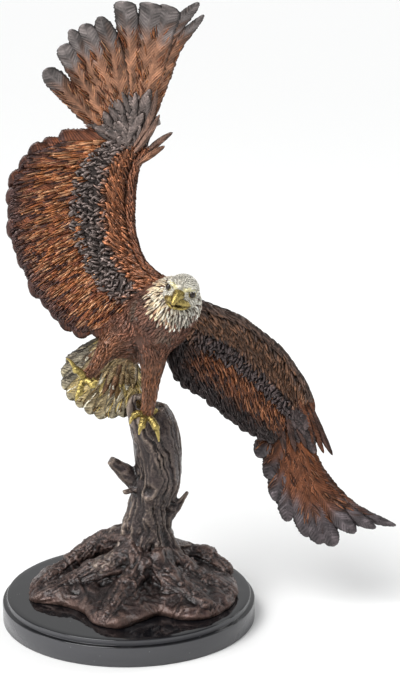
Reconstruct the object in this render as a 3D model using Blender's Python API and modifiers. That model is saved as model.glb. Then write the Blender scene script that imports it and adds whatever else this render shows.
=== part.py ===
"""A cast bronze bald eagle landing on a tree stump, on a round plinth of black marble.

Metres, +Z up, with the viewer on the -Y side. The origin is the centre of the plinth's underside.
"""

import math

import bmesh
import bpy
from mathutils import Vector, noise

# The marble plinth, a turned disc with a step round its top
PLINTH_DIAMETER = 0.270
PLINTH_THICKNESS = 0.028
STEP_WIDTH = 0.0045
STEP_HEIGHT = 0.0060
EDGE_ROUND = 0.0015
PLINTH_SIDES = 72
ROUND_STEPS = 2

# The bronze casting. Its figure is laid out in hundredths of its own height.
BRONZE_HEIGHT = 0.627
SEAT_GAP = 0.0003
FEATHER_THICKNESS = 0.0040
TAIL_THICKNESS = 0.0056
TOE_THICKNESS = 0.0062
CLAW_THICKNESS = 0.0034
PRIMARY_WIDTH = 4.2
ALULA_WIDTH = 2.2
TAIL_FEATHER_WIDTH = 3.4
TAIL_FEATHERS = 10

# How finely the casting is made
FUSE_VOXEL = BRONZE_HEIGHT / 340
SMOOTHING = 0.35
SMOOTHING_ROUNDS = 2
CASTING_TRIANGLES = 8400
SHARP_ANGLE = math.radians(50)

# How broad a feather is along its length, as shares of its full width
PRIMARY_SHAPE = ((0.0, 0.6), (0.2, 0.8), (0.5, 1.0), (0.75, 1.0), (0.88, 0.86), (0.95, 0.6), (1.0, 0.16))
SECONDARY_SHAPE = ((0.0, 0.6), (0.3, 0.85), (0.6, 1.0), (0.85, 1.0), (0.93, 0.86), (0.98, 0.6), (1.0, 0.3))

TOP_RADIUS = PLINTH_DIAMETER / 2 - STEP_WIDTH
UP = Vector((0, 0, 1))
TO_VIEWER = Vector((0, -1, 0))

# The bird's right wing, raised on the viewer's left. Lines run from the shoulder out.
RIGHT_WING = {
    "lead": (
        (8.5, -2.2, 54.5), (5.7, -1.3, 56.1), (4.0, 0.2, 57.1), (2.8, 1.5, 58.6), (1.9, 3.0, 61.0),
        (1.5, 4.2, 64.0), (1.6, 5.1, 67.2), (1.9, 5.8, 70.4), (2.7, 6.1, 73.2), (4.4, 6.1, 75.4),
    ),
    "bone": (
        (5.5, 1.0, 49.5), (2.4, 2.5, 54.5), (0.2, 4.5, 59.0), (-0.8, 6.0, 64.0), (-0.6, 7.0, 69.0),
        (0.2, 7.4, 73.0), (1.4, 7.3, 76.0),
    ),
    "tips": (
        (-3.8, 2.0, 46.4), (-7.6, 1.0, 45.4), (-11.0, 0.2, 47.4), (-14.6, -0.2, 51.5), (-17.3, 0.2, 56.4),
        (-19.1, 1.2, 61.8), (-19.3, 2.2, 67.0), (-18.7, 3.2, 71.8), (-16.4, 4.6, 76.2), (-11.6, 5.8, 78.1),
    ),
    "secondaries": 17,
    "secondary_width": 4.1,
    "hand": ((-3.6, 7.2, 75.0), (-1.0, 7.4, 77.0), (1.4, 7.3, 78.4), (3.6, 6.8, 79.2), (5.3, 6.2, 80.0)),
    "primary_tips": (
        (-12.9, 3.8, 88.7), (-10.4, 3.0, 92.6), (-8.2, 2.4, 95.4), (-6.0, 2.1, 96.3), (-3.4, 1.6, 97.5),
        (0.4, 1.3, 99.7), (4.0, 1.0, 99.7), (7.0, 0.8, 99.5), (10.2, 0.8, 99.4), (12.2, 1.3, 97.9),
    ),
    "primary_breadths": (0.95, 0.93, 0.88, 0.95, 1.05, 1.05, 1.0, 1.0, 1.0, 0.8),
    "primary_hooks": (0.0, 0.1, -0.1, -0.15, -0.2, -0.1, 0.05, 0.1, 0.45, 0.35),
    "curl": 1.0,
    "hand_coverts": ((-4.9, 7.0, 80.0), (-2.6, 6.5, 84.0), (0.2, 6.1, 85.6), (3.0, 5.6, 85.4), (5.8, 5.2, 84.0)),
    "alula": (
        ((2.2, 6.0, 73.4), (5.0, 5.2, 76.6), (7.7, 3.8, 78.4)),
        ((1.6, 5.2, 72.6), (4.2, 4.4, 74.8), (6.4, 3.6, 76.2)),
    ),
}

# The bird's left wing, drooping on the viewer's right
LEFT_WING = {
    "lead": (
        (9.5, -0.8, 51.8), (12.7, -0.5, 51.2), (15.7, 0.6, 49.7), (18.8, 1.6, 48.3), (22.2, 3.1, 45.4),
        (25.5, 4.4, 42.3), (28.4, 5.3, 38.2), (30.5, 5.3, 34.6), (31.2, 5.1, 32.4),
    ),
    "bone": (
        (8.6, 0.6, 47.8), (13.5, 1.4, 47.0), (17.6, 2.8, 45.2), (21.6, 4.4, 42.2), (25.0, 5.6, 38.4),
        (27.2, 6.0, 34.8), (28.6, 6.0, 31.4),
    ),
    "tips": (
        (6.6, 2.6, 40.2), (7.9, 1.4, 37.6), (10.4, 0.4, 35.4), (13.2, -0.2, 33.8), (16.0, -0.2, 31.2),
        (18.6, 0.1, 29.2), (21.0, 0.6, 27.6), (23.6, 1.4, 26.4),
    ),
    "secondaries": 13,
    "secondary_width": 3.5,
    "hand": ((26.6, 5.4, 30.6), (27.8, 5.6, 29.0), (29.0, 5.6, 27.6), (30.0, 5.4, 26.6), (30.8, 5.0, 26.0)),
    "primary_tips": (
        (21.8, 1.9, 23.4), (23.6, 1.5, 19.6), (25.0, 0.9, 15.8), (27.0, 0.2, 12.4), (30.6, -0.5, 9.9),
        (32.9, -1.1, 8.9), (35.2, -1.4, 8.7), (38.2, -1.3, 10.6), (41.6, -1.1, 11.1), (45.2, -0.7, 11.4),
    ),
    "primary_breadths": (1.0, 0.95, 0.95, 1.0, 1.0, 1.0, 1.0, 1.05, 0.86, 0.67),
    "primary_hooks": (0.0, 0.0, 0.0, 0.0, 0.0, 0.0, 0.0, -0.15, -0.25, -0.3),
    "curl": 8.0,
    "hand_coverts": ((27.2, 5.2, 26.4), (28.6, 5.0, 25.0), (30.4, 4.6, 24.4), (31.8, 4.2, 23.6)),
    "alula": (
        ((30.4, 5.6, 32.6), (32.2, 5.0, 27.4), (34.7, 4.1, 23.0)),
        ((29.0, 5.2, 35.4), (31.0, 4.6, 33.4), (31.4, 4.2, 30.6)),
    ),
}

# The bird itself, along its back from the tail's root to the head
BODY = (
    (-4.6, 4.0, 38.6), (-2.6, 3.4, 40.2), (-0.2, 2.4, 42.6), (2.8, 1.0, 45.4), (5.6, -1.0, 48.6),
    (7.8, -3.4, 51.4), (9.0, -5.6, 53.4),
)
BODY_RADII = (1.8, 3.0, 4.3, 5.3, 5.4, 4.7, 3.4)
HEAD = (9.4, -7.3, 54.8)
HEAD_RADII = (2.8, 3.1, 2.75)
FACE = (8.9, -8.6, 54.2)
FACE_RADII = (2.2, 2.2, 1.9)
BEAK = ((8.8, -9.3, 54.4), (8.6, -10.4, 54.6), (8.4, -11.2, 54.3), (8.1, -11.8, 53.7), (7.9, -11.7, 52.9))
BEAK_RADII = (1.3, 1.15, 0.9, 0.6, 0.3)
GAPE = ((6.8, -8.5, 54.0), (7.4, -9.7, 54.0), (8.3, -10.5, 53.6), (9.5, -10.1, 53.3), (10.5, -9.4, 53.0))
GAPE_RADII = (0.4, 0.7, 0.8, 0.7, 0.4)
BROWS = (
    ((7.3, -7.4, 56.2), (7.4, -8.4, 56.5), (7.9, -9.5, 56.4), (8.4, -10.0, 56.0)),
    ((11.7, -8.4, 55.0), (11.3, -9.3, 55.3), (10.5, -10.1, 55.6), (9.7, -10.3, 55.6)),
)
BROW_RADII = (0.5, 0.6, 0.6, 0.5)
TAIL_ROOTS = ((-2.4, 4.6, 44.0), (-1.2, 4.0, 42.6), (0.9, 3.2, 41.2))
TAIL_TIPS = (
    (-10.2, 6.2, 38.2), (-11.1, 5.6, 36.0), (-10.6, 5.1, 33.4), (-9.0, 4.8, 31.8), (-7.0, 4.5, 30.4),
    (-5.3, 4.1, 29.5), (-3.2, 4.0, 29.6), (-1.0, 3.8, 29.8), (1.0, 3.6, 30.8),
)

# Its legs, each from the hip to the foot, and the toes from the foot to the claw's point
STANDING_LEG = ((4.0, -0.8, 45.4), (4.4, -2.2, 41.6), (4.0, -2.8, 38.0), (3.7, -2.9, 34.8), (3.2, -2.8, 32.2))
STANDING_LEG_RADII = (4.0, 2.4, 1.65, 1.3, 1.15)
STANDING_TOES = (
    ((3.0, -2.9, 32.3), (1.4, -3.6, 32.6), (0.5, -4.3, 31.2)),
    ((3.1, -3.2, 32.2), (2.8, -5.2, 31.2), (2.6, -5.9, 29.4)),
    ((3.4, -3.1, 32.1), (4.9, -4.8, 30.9), (5.4, -5.0, 28.4)),
    ((3.4, -2.2, 32.0), (4.6, -0.4, 32.2), (5.0, 0.8, 31.4)),
)
RAISED_LEG = ((0.2, -0.6, 45.6), (-2.3, -3.6, 44.6), (-4.0, -5.9, 43.0), (-5.4, -7.6, 41.3), (-6.5, -8.6, 40.4))
RAISED_LEG_RADII = (4.2, 3.0, 1.65, 1.1, 0.95)
RAISED_TOES = (
    ((-6.5, -8.8, 40.3), (-7.8, -9.7, 42.2), (-9.3, -10.0, 44.2)),
    ((-6.6, -9.0, 40.0), (-5.2, -10.0, 39.7), (-4.2, -10.6, 40.4)),
    ((-6.8, -9.0, 40.0), (-7.3, -9.8, 38.3), (-7.9, -10.4, 37.1)),
    ((-6.3, -8.4, 40.4), (-5.2, -7.8, 39.8), (-4.6, -7.6, 38.8)),
)

# The stump, from inside its foot to its broken top, and the stubs of its branches
TRUNK = (
    (2.2, 1.9, -1.5), (2.3, 1.9, 6.0), (2.8, 1.9, 9.2), (3.5, 1.9, 12.6), (4.2, 1.9, 15.8), (5.0, 1.9, 19.2),
    (5.0, 1.9, 22.2), (4.8, 1.9, 25.2), (4.3, 1.9, 28.4), (3.1, 1.9, 31.6),
)
TRUNK_RADII = (6.4, 4.7, 4.3, 4.1, 3.8, 3.85, 4.0, 4.15, 4.2, 3.6)
STUBS = (
    (((2.6, 1.9, 18.0), (0.0, 1.2, 20.6), (-3.6, 0.0, 24.0)), (2.0, 1.4, 0.6)),
    (((6.2, 1.9, 12.4), (8.6, 1.5, 15.0), (10.1, 1.2, 17.6)), (1.5, 0.95, 0.5)),
    (((2.2, 0.6, 18.2), (0.2, -0.6, 18.2), (-0.8, -0.8, 18.0)), (1.1, 0.6, 0.35)),
    (((4.0, 1.9, 29.0), (5.6, 1.6, 31.0), (5.6, 1.4, 33.0)), (2.6, 1.5, 0.5)),
)
BARK_DEPTH = 0.16
BARK_RIDGES = 11

# The rock and roots under the stump: x and y in hundredths of the marble top's radius
ROCK_OUTLINE = (
    (-78, 14), (-80, -6), (-78, -24), (-54, -32), (-34, -48), (-25, -68), (-5, -78), (11, -64),
    (26, -52), (42, -60), (61, -60), (77, -45), (87, -18), (86, 10), (78, 38), (60, 50), (34, 60), (-4, 62),
    (-44, 54), (-68, 36),
)
ROCK_MIDDLE = (12, 6)
ROCK_SINK = 1.6
ROCK_RIM = 1.5
ROCK_RISE = 4.6
ROCK_ROUGH = 0.38
ROOTS = (
    ((10, 8, 8.6), (-8, 16, 8.0), (-24, 26, 6.4), (-40, 22, 4.6), (-58, 8, 2.6), (-72, -6, 1.0)),
    ((8, 0, 6.4), (-16, -6, 4.4), (-42, -14, 2.2), (-66, -18, 0.9)),
    ((14, -6, 6.0), (2, -30, 3.0), (-8, -54, 1.4), (-10, -66, 0.8)),
    ((20, -6, 6.0), (40, -22, 2.8), (60, -38, 1.4), (68, -46, 0.8)),
    ((24, 8, 5.4), (48, 0, 3.0), (68, -6, 1.6), (78, -8, 0.8)),
    ((24, 22, 4.2), (50, 38, 1.8), (66, 40, 1.3), (76, 26, 0.9)),
    ((8, 24, 4.6), (-4, 44, 1.8), (-10, 54, 0.8)),
)
ROOT_RADII = (3.3, 2.6, 2.2, 1.9, 1.7, 1.4)


def at(x, y, z):
    """A point of the casting, in hundredths of its height from the middle of the marble's top."""
    return Vector((x, y, z)) * BRONZE_HEIGHT / 100 + UP * PLINTH_THICKNESS


def on_marble(x, y, z):
    """A point of the rock: x and y in hundredths of the top's radius, z of the casting's height."""
    return Vector((x * TOP_RADIUS / 100, y * TOP_RADIUS / 100, PLINTH_THICKNESS + z * BRONZE_HEIGHT / 100))


def size(share):
    """A length given in hundredths of the casting's height."""
    return share * BRONZE_HEIGHT / 100


def places(rows):
    return [at(*row) for row in rows]


def sizes(shares):
    return [size(share) for share in shares]


def along(points, count):
    """That many places on a smooth curve through the points, evenly spaced along it."""
    ends = [2 * points[0] - points[1], *points, 2 * points[-1] - points[-2]]
    fine = []
    for a, b, c, d in zip(ends, ends[1:], ends[2:], ends[3:]):
        for step in range(12):
            t = step / 12
            square = a - b * 2.5 + c * 2 - d / 2
            cube = b * 1.5 - a / 2 - c * 1.5 + d / 2
            fine.append(b + (c - a) * t / 2 + square * t**2 + cube * t**3)
    fine.append(points[-1])
    reach = [0.0]
    for a, b in zip(fine, fine[1:]):
        reach.append(reach[-1] + (b - a).length)
    found = []
    place = 0
    for step in range(count):
        want = reach[-1] * step / (count - 1)
        while place < len(fine) - 2 and reach[place + 1] < want:
            place += 1
        span = reach[place + 1] - reach[place]
        found.append(fine[place].lerp(fine[place + 1], (want - reach[place]) / span))
    return found


def spread(values, count):
    """That many values, read evenly along a list of numbers."""
    found = []
    for step in range(count):
        place = step / (count - 1) * (len(values) - 1)
        low = min(int(place), len(values) - 2)
        found.append(values[low] + (values[low + 1] - values[low]) * (place - low))
    return found


def loft(solid, rings):
    """A closed skin over rings of as many points each, with both ends filled to their middles."""
    rows = [[solid.verts.new(point) for point in ring] for ring in rings]
    sides = len(rows[0])
    for low, high in zip(rows, rows[1:]):
        for i in range(sides):
            solid.faces.new((low[i], low[(i + 1) % sides], high[(i + 1) % sides], high[i]))
    for row, turn in ((rows[0], -1), (rows[-1], 1)):
        middle = solid.verts.new(sum((vert.co for vert in row), Vector()) / sides)
        for i in range(sides):
            pair = (row[i], row[(i + 1) % sides])
            solid.faces.new((*pair[::turn], middle))


def tube(solid, points, radii, sides=14, rough=None):
    """A round limb along the points. Rough gives the share of its radius that it gains at an angle and place."""
    count = 3 * len(points)
    line = along(points, count)
    thick = spread(radii, count)
    side = Vector((1, 0, 0))
    rings = []
    for i, (place, radius) in enumerate(zip(line, thick)):
        way = (line[min(i + 1, count - 1)] - line[max(i - 1, 0)]).normalized()
        side = (side - way * side.dot(way)).normalized()
        other = way.cross(side)
        ring = []
        for step in range(sides):
            angle = math.tau * step / sides
            out = side * math.cos(angle) + other * math.sin(angle)
            gain = rough(angle, place + out * radius) if rough else 0
            ring.append(place + out * radius * (1 + gain))
        rings.append(ring)
    loft(solid, rings)


def feather(solid, root, bend, tip, width, shape, thickness=FEATHER_THICKNESS, hook=0.0):
    """A flat blade facing the viewer, from root to tip and bowed through bend, as broad as its shape says.

    Hook draws its last third aside, in shares of its width.
    """
    rings = []
    for reach, share in shape:
        place = root * (1 - reach) ** 2 + bend * 2 * reach * (1 - reach) + tip * reach**2
        way = ((bend - root) * (1 - reach) + (tip - bend) * reach).normalized()
        side = way.cross(TO_VIEWER).normalized()
        place = place + side * hook * width * max(0.0, (reach - 0.65) / 0.35) ** 2
        across = side * width * share / 2
        lift = side.cross(way).normalized() * thickness / 2
        rings.append(
            [
                place + across,
                place + across * 0.5 + lift,
                place - across * 0.5 + lift,
                place - across,
                place - across * 0.5 - lift,
                place + across * 0.5 - lift,
            ]
        )
    loft(solid, rings)


def wing_stations(plan, count):
    """Places along the wing: its leading edge, its bone, a secondary's tip and the way its face looks."""
    edges, bones, ends = (along(places(plan[name]), count) for name in ("lead", "bone", "tips"))
    found = []
    for i in range(count):
        outward = bones[min(i + 1, count - 1)] - bones[max(i - 1, 0)]
        face = outward.cross(ends[i] - edges[i]).normalized()
        if face.dot(TO_VIEWER) < 0:
            face = -face
        found.append((edges[i], bones[i], ends[i], face))
    return found


def wing_arm(solid, plan):
    """The covered arm, from the leading edge to where the bare ends of the secondaries start."""
    thick, skin = sizes((1.25, 0.7))
    rings = []
    for edge, bone, tip, face in wing_stations(plan, 16):
        shoulder = edge.lerp(bone, 0.4)
        half = bone.lerp(tip, 0.32)
        rings.append(
            [
                edge,
                shoulder + face * thick * 0.85,
                bone + face * thick,
                half + face * skin,
                bone.lerp(tip, 0.55),
                half - face * skin,
                bone - face * thick,
                shoulder - face * thick * 0.85,
            ]
        )
    loft(solid, rings)


def wing_coverts(solid, plan):
    """A row of broad coverts over the roots of the secondaries, on both faces of the wing."""
    for _, bone, tip, face in wing_stations(plan, plan["secondaries"])[:-1]:
        for side in (face, -face):
            root = bone + side * size(0.7)
            end = bone.lerp(tip, 0.45) + side * size(0.75)
            feather(solid, root, root.lerp(end, 0.5), end, size(plan["secondary_width"]), SECONDARY_SHAPE)


def hand(solid, plan):
    """The primaries, fanned from the hand, with the coverts over their roots and the alula at the wrist."""
    wrist = at(*plan["bone"][-1])
    knuckles = places(plan["hand"])
    ends = places(plan["primary_tips"])
    for i, (knuckle, tip) in enumerate(zip(along(knuckles, len(ends)), ends)):
        root = knuckle.lerp(wrist, 0.5)
        inward = (tip - root).cross(TO_VIEWER).normalized()
        if inward.dot(ends[0] - tip) < 0:
            inward = -inward
        bend = root.lerp(tip, 0.5) + inward * size(plan["curl"]) * (i / (len(ends) - 1)) ** 2
        width = size(PRIMARY_WIDTH) * plan["primary_breadths"][i]
        feather(solid, root, bend, tip, width, PRIMARY_SHAPE, hook=plan["primary_hooks"][i])
    raised = TO_VIEWER * FEATHER_THICKNESS * 0.6
    for end in places(plan["hand_coverts"]):
        for lift in (raised, -raised):
            bend = wrist.lerp(end, 0.5) + lift
            feather(solid, wrist, bend, end + lift, size(PRIMARY_WIDTH), SECONDARY_SHAPE)
    tube(solid, [wrist, *knuckles], sizes((1.5, 1.4, 1.2, 1.1, 1.0, 0.9)))
    for line in plan["alula"]:
        root, bend, tip = places(line)
        feather(solid, root, bend, tip, size(ALULA_WIDTH), PRIMARY_SHAPE)


def wing(solid, plan):
    wing_arm(solid, plan)
    for _, root, tip, _ in wing_stations(plan, plan["secondaries"]):
        bend = root.lerp(tip, 0.55) - TO_VIEWER * FEATHER_THICKNESS
        feather(solid, root, bend, tip, size(plan["secondary_width"]), SECONDARY_SHAPE)
    wing_coverts(solid, plan)
    hand(solid, plan)


def tail(solid):
    roots = along(places(TAIL_ROOTS), TAIL_FEATHERS)
    tips = along(places(TAIL_TIPS), TAIL_FEATHERS)
    for root, tip in zip(roots, tips):
        bend = root.lerp(tip, 0.5)
        feather(solid, root, bend, tip, size(TAIL_FEATHER_WIDTH), SECONDARY_SHAPE, TAIL_THICKNESS)


def head(solid):
    for middle, radii in ((HEAD, HEAD_RADII), (FACE, FACE_RADII)):
        skull = bmesh.ops.create_uvsphere(solid, u_segments=24, v_segments=14, radius=1)["verts"]
        bmesh.ops.scale(solid, verts=skull, vec=sizes(radii))
        bmesh.ops.translate(solid, verts=skull, vec=at(*middle))
    tube(solid, places(BEAK), sizes(BEAK_RADII), 12)
    tube(solid, places(GAPE), sizes(GAPE_RADII), 10)
    for brow in BROWS:
        tube(solid, places(brow), sizes(BROW_RADII), 8)


def foot(solid, toes):
    for toe in toes:
        root, knuckle, point = places(toe)
        tube(solid, [root, root.lerp(knuckle, 0.6), knuckle], [TOE_THICKNESS / 2] * 3, 10)
        claw = [TOE_THICKNESS / 2, CLAW_THICKNESS / 2, CLAW_THICKNESS / 3]
        tube(solid, [knuckle, knuckle.lerp(point, 0.6), point], claw, 8)


def bird(solid):
    tube(solid, places(BODY), sizes(BODY_RADII), 20)
    head(solid)
    tail(solid)
    wing(solid, RIGHT_WING)
    wing(solid, LEFT_WING)
    tube(solid, places(STANDING_LEG), sizes(STANDING_LEG_RADII))
    tube(solid, places(RAISED_LEG), sizes(RAISED_LEG_RADII))
    foot(solid, STANDING_TOES)
    foot(solid, RAISED_TOES)


def bark(angle, place):
    """Long ridges round a limb that wander as they climb, as a share of its radius."""
    climb = place.z / BRONZE_HEIGHT
    wander = 1.2 * noise.noise(Vector((math.cos(angle), math.sin(angle), climb * 9)))
    ridge = math.cos(BARK_RIDGES * angle + 5 * wander + 7 * climb)
    return BARK_DEPTH * (0.45 * ridge + wander * 0.5)


def lumps(_, place):
    return BARK_DEPTH * 1.4 * noise.noise(place / size(2.4))


def stump(solid):
    tube(solid, places(TRUNK), sizes(TRUNK_RADII), 44, bark)
    for line, radii in STUBS:
        tube(solid, places(line), sizes(radii), 10, lumps)


def rock(solid):
    """The mound that the stump grows from: rings drawn in from its outline, and the roots that run over it."""
    corners = [on_marble(x, y, 0) for x, y in (*ROCK_OUTLINE, ROCK_OUTLINE[0])]
    outline = along(corners, 73)[:-1]
    middle = on_marble(*ROCK_MIDDLE, 0)
    rings = [[point - UP * size(ROCK_SINK) for point in outline]]
    for inward, share in ((0.0, 0.45), (0.06, 1), (0.2, 1), (0.4, 1), (0.6, 1), (0.8, 1)):
        rise = size(ROCK_RIM + (ROCK_RISE - ROCK_RIM) * inward**1.25) * share
        ring = []
        for point in outline:
            place = point.lerp(middle, inward)
            rough = 1 + ROCK_ROUGH * noise.noise(place / size(3.8)) * (1 - inward)
            ring.append(place + UP * rise * rough)
        rings.append(ring)
    loft(solid, rings)
    for line in ROOTS:
        tube(solid, [on_marble(*row) for row in line], sizes(ROOT_RADII[: len(line)]), 12, lumps)


def linked(name, solid, collection):
    """The shapes as an object of that name in the collection."""
    mesh = bpy.data.meshes.new(name)
    solid.to_mesh(mesh)
    solid.free()
    thing = bpy.data.objects.new(name, mesh)
    collection.objects.link(thing)
    return thing


def evaluated_mesh(thing):
    bpy.context.view_layer.update()
    graph = bpy.context.evaluated_depsgraph_get()
    return bpy.data.meshes.new_from_object(thing.evaluated_get(graph))


def fused(solid, collection):
    """The overlapping shapes as one skin, fused by voxels and eased."""
    bmesh.ops.recalc_face_normals(solid, faces=solid.faces)
    shapes = linked("shapes", solid, collection)
    remesh = shapes.modifiers.new("fuse", "REMESH")
    remesh.mode = "VOXEL"
    remesh.voxel_size = FUSE_VOXEL
    ease = shapes.modifiers.new("ease", "SMOOTH")
    ease.factor = SMOOTHING
    ease.iterations = round(SMOOTHING_ROUNDS)
    skin = evaluated_mesh(shapes)
    bpy.data.objects.remove(shapes)
    return skin


def keep_largest(mesh):
    """Leaves the mesh's largest connected piece alone, without the hollows that fusing closed in."""
    shape = bmesh.new()
    shape.from_mesh(mesh)
    left = set(shape.verts)
    islands = []
    while left:
        island = []
        front = [left.pop()]
        while front:
            vert = front.pop()
            island.append(vert)
            for edge in vert.link_edges:
                other = edge.other_vert(vert)
                if other in left:
                    left.remove(other)
                    front.append(other)
        islands.append(island)
    islands.sort(key=len)
    for island in islands[:-1]:
        bmesh.ops.delete(shape, geom=island, context="VERTS")
    shape.to_mesh(mesh)
    shape.free()


def material(name, colour, roughness, metallic):
    made = bpy.data.materials.new(name)
    made.use_nodes = True
    surface = made.node_tree.nodes["Principled BSDF"]
    surface.inputs["Base Color"].default_value = (*colour, 1)
    surface.inputs["Roughness"].default_value = roughness
    surface.inputs["Metallic"].default_value = metallic
    return made


def finished(thing, surface):
    """Shades the piece smooth and gives it its material."""
    thing.data.materials.clear()
    thing.data.materials.append(surface)
    thing.data.shade_smooth()
    thing.data.set_sharp_from_angle(angle=SHARP_ANGLE)


def seat_cutter(collection):
    """A block as high as the marble's top, which cuts the casting's flat seat."""
    solid = bmesh.new()
    side = PLINTH_DIAMETER * 1.5
    bmesh.ops.create_cube(solid, size=side)
    bmesh.ops.translate(solid, verts=solid.verts, vec=UP * (PLINTH_THICKNESS + SEAT_GAP - side / 2))
    cutter = linked("seat_cutter", solid, collection)
    cutter.hide_render = True
    cutter.display_type = "WIRE"
    return cutter


def bronze_casting(collection, cutters):
    """The eagle, its stump and its rock, cast as one."""
    solid = bmesh.new()
    bird(solid)
    stump(solid)
    rock(solid)
    skin = fused(solid, cutters)
    keep_largest(skin)
    bronze = bpy.data.objects.new("bronze_eagle_on_stump", skin)
    collection.objects.link(bronze)
    thin = bronze.modifiers.new("thin", "DECIMATE")
    thin.ratio = CASTING_TRIANGLES / sum(len(face.vertices) - 2 for face in skin.polygons)
    cut = bronze.modifiers.new("seat", "BOOLEAN")
    cut.operation = "DIFFERENCE"
    cut.object = seat_cutter(cutters)
    bronze.data = evaluated_mesh(bronze)
    bronze.modifiers.clear()
    finished(bronze, material("patinated_bronze", (0.105, 0.062, 0.045), 0.42, 0.85))


def marble_plinth(collection):
    """The marble disc, turned from its profile."""
    shoulder = PLINTH_THICKNESS - STEP_HEIGHT
    profile = [(0, PLINTH_THICKNESS)]
    for rim, top in ((TOP_RADIUS, PLINTH_THICKNESS), (PLINTH_DIAMETER / 2, shoulder)):
        if top == shoulder:
            profile.append((TOP_RADIUS, shoulder))
        for step in range(ROUND_STEPS + 1):
            angle = math.pi / 2 * step / ROUND_STEPS
            profile.append((rim - EDGE_ROUND * (1 - math.sin(angle)), top - EDGE_ROUND * (1 - math.cos(angle))))
    profile += [(PLINTH_DIAMETER / 2, EDGE_ROUND), (PLINTH_DIAMETER / 2 - EDGE_ROUND, 0), (0, 0)]
    mesh = bpy.data.meshes.new("marble_plinth")
    edges = [(i, i + 1) for i in range(len(profile) - 1)]
    mesh.from_pydata([(radius, 0, height) for radius, height in profile], edges, [])
    plinth = bpy.data.objects.new("marble_plinth", mesh)
    collection.objects.link(plinth)
    turn = plinth.modifiers.new("turn", "SCREW")
    turn.steps = PLINTH_SIDES
    turn.render_steps = PLINTH_SIDES
    turn.use_merge_vertices = True
    turn.merge_threshold = 0.00001
    plinth.data = evaluated_mesh(plinth)
    plinth.modifiers.clear()
    finished(plinth, material("black_marble", (0.018, 0.018, 0.020), 0.12, 0.0))


def main():
    for thing in list(bpy.data.objects):
        bpy.data.objects.remove(thing)
    statue = bpy.data.collections.new("bronze_eagle_statue")
    cutters = bpy.data.collections.new("cutters")
    bpy.context.scene.collection.children.link(statue)
    bpy.context.scene.collection.children.link(cutters)
    marble_plinth(statue)
    bronze_casting(statue, cutters)


main()
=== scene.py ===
import math

import bmesh
import bpy
import numpy as np
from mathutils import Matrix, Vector, kdtree, noise
from mathutils.bvhtree import BVHTree


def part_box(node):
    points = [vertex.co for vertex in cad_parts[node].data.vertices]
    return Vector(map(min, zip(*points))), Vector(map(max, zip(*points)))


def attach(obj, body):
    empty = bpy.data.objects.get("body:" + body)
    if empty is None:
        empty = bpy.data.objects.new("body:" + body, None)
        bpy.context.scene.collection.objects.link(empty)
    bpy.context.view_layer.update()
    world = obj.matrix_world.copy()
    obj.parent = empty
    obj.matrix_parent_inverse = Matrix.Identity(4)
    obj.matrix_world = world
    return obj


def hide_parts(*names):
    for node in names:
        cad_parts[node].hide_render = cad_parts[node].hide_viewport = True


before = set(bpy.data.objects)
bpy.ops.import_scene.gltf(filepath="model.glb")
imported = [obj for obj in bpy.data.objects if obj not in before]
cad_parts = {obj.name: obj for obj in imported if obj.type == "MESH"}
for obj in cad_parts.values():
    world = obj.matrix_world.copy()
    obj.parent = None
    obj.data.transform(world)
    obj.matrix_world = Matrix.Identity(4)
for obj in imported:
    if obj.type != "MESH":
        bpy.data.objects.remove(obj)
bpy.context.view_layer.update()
scene = bpy.context.scene

# Camera, floor and studio light
# The statue is seen from 2 m away and a little above it, on a pale floor. The main light is a very wide soft
# one from the upper left, under a white sky, brightest behind the statue and duller on the viewer's side.
CAMERA_PLACE = (0.0762, -2.0, 0.861)
CAMERA_TILT = 90 - 15.53
CAMERA_LENS = 105.6
CAMERA_FILM = 36
FAR_CLIP = 200
FLOOR_SIDE = 60.0
FLOOR_COLOUR = "#f6f6f5"
FLOOR_ROUGHNESS = 0.9
SKY_BEHIND = "#ffffff"
SKY_BEFORE = "#9a9a9c"
SKY_ABOVE = "#b4b6b8"
SKY_STRENGTH = 0.80
MAIN_LIGHT_STRENGTH = 2.7
MAIN_LIGHT_WIDTH = 38
MAIN_LIGHT_FROM = Vector((-0.75, -0.80, 1.25))
SOFT_BOXES = (
    ("side_light", (-1.7, -0.5, 0.9), 0.9, 9.0),
    ("rim_light", (1.5, 0.9, 1.3), 0.8, 9.0),
)
AIM = Vector((0.03, 0.0, 0.30))


def linear(hex_colour):
    """An sRGB hex colour as linear red, green and blue."""
    shares = [int(hex_colour[i : i + 2], 16) / 255 for i in (1, 3, 5)]
    return tuple(share / 12.92 if share <= 0.04045 else ((share + 0.055) / 1.055) ** 2.4 for share in shares)


def add_node(surface, kind, settings, links=()):
    """Adds a node to a material or world, sets its settings and sockets, and links outputs to its sockets."""
    made = surface.node_tree.nodes.new("ShaderNode" + kind)
    for name, value in settings.items():
        if isinstance(name, str) and hasattr(made, name):
            setattr(made, name, value)
        else:
            made.inputs[name].default_value = value
    for socket, output in links:
        surface.node_tree.links.new(output, made.inputs[socket])
    return made


camera = bpy.data.objects.new("camera", bpy.data.cameras.new("camera"))
camera.location = CAMERA_PLACE
camera.rotation_euler = (math.radians(CAMERA_TILT), 0, 0)
camera.data.lens = CAMERA_LENS
camera.data.sensor_width = CAMERA_FILM
camera.data.clip_end = FAR_CLIP
scene.collection.objects.link(camera)
scene.camera = camera
scene.view_settings.view_transform = "Standard"

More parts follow.
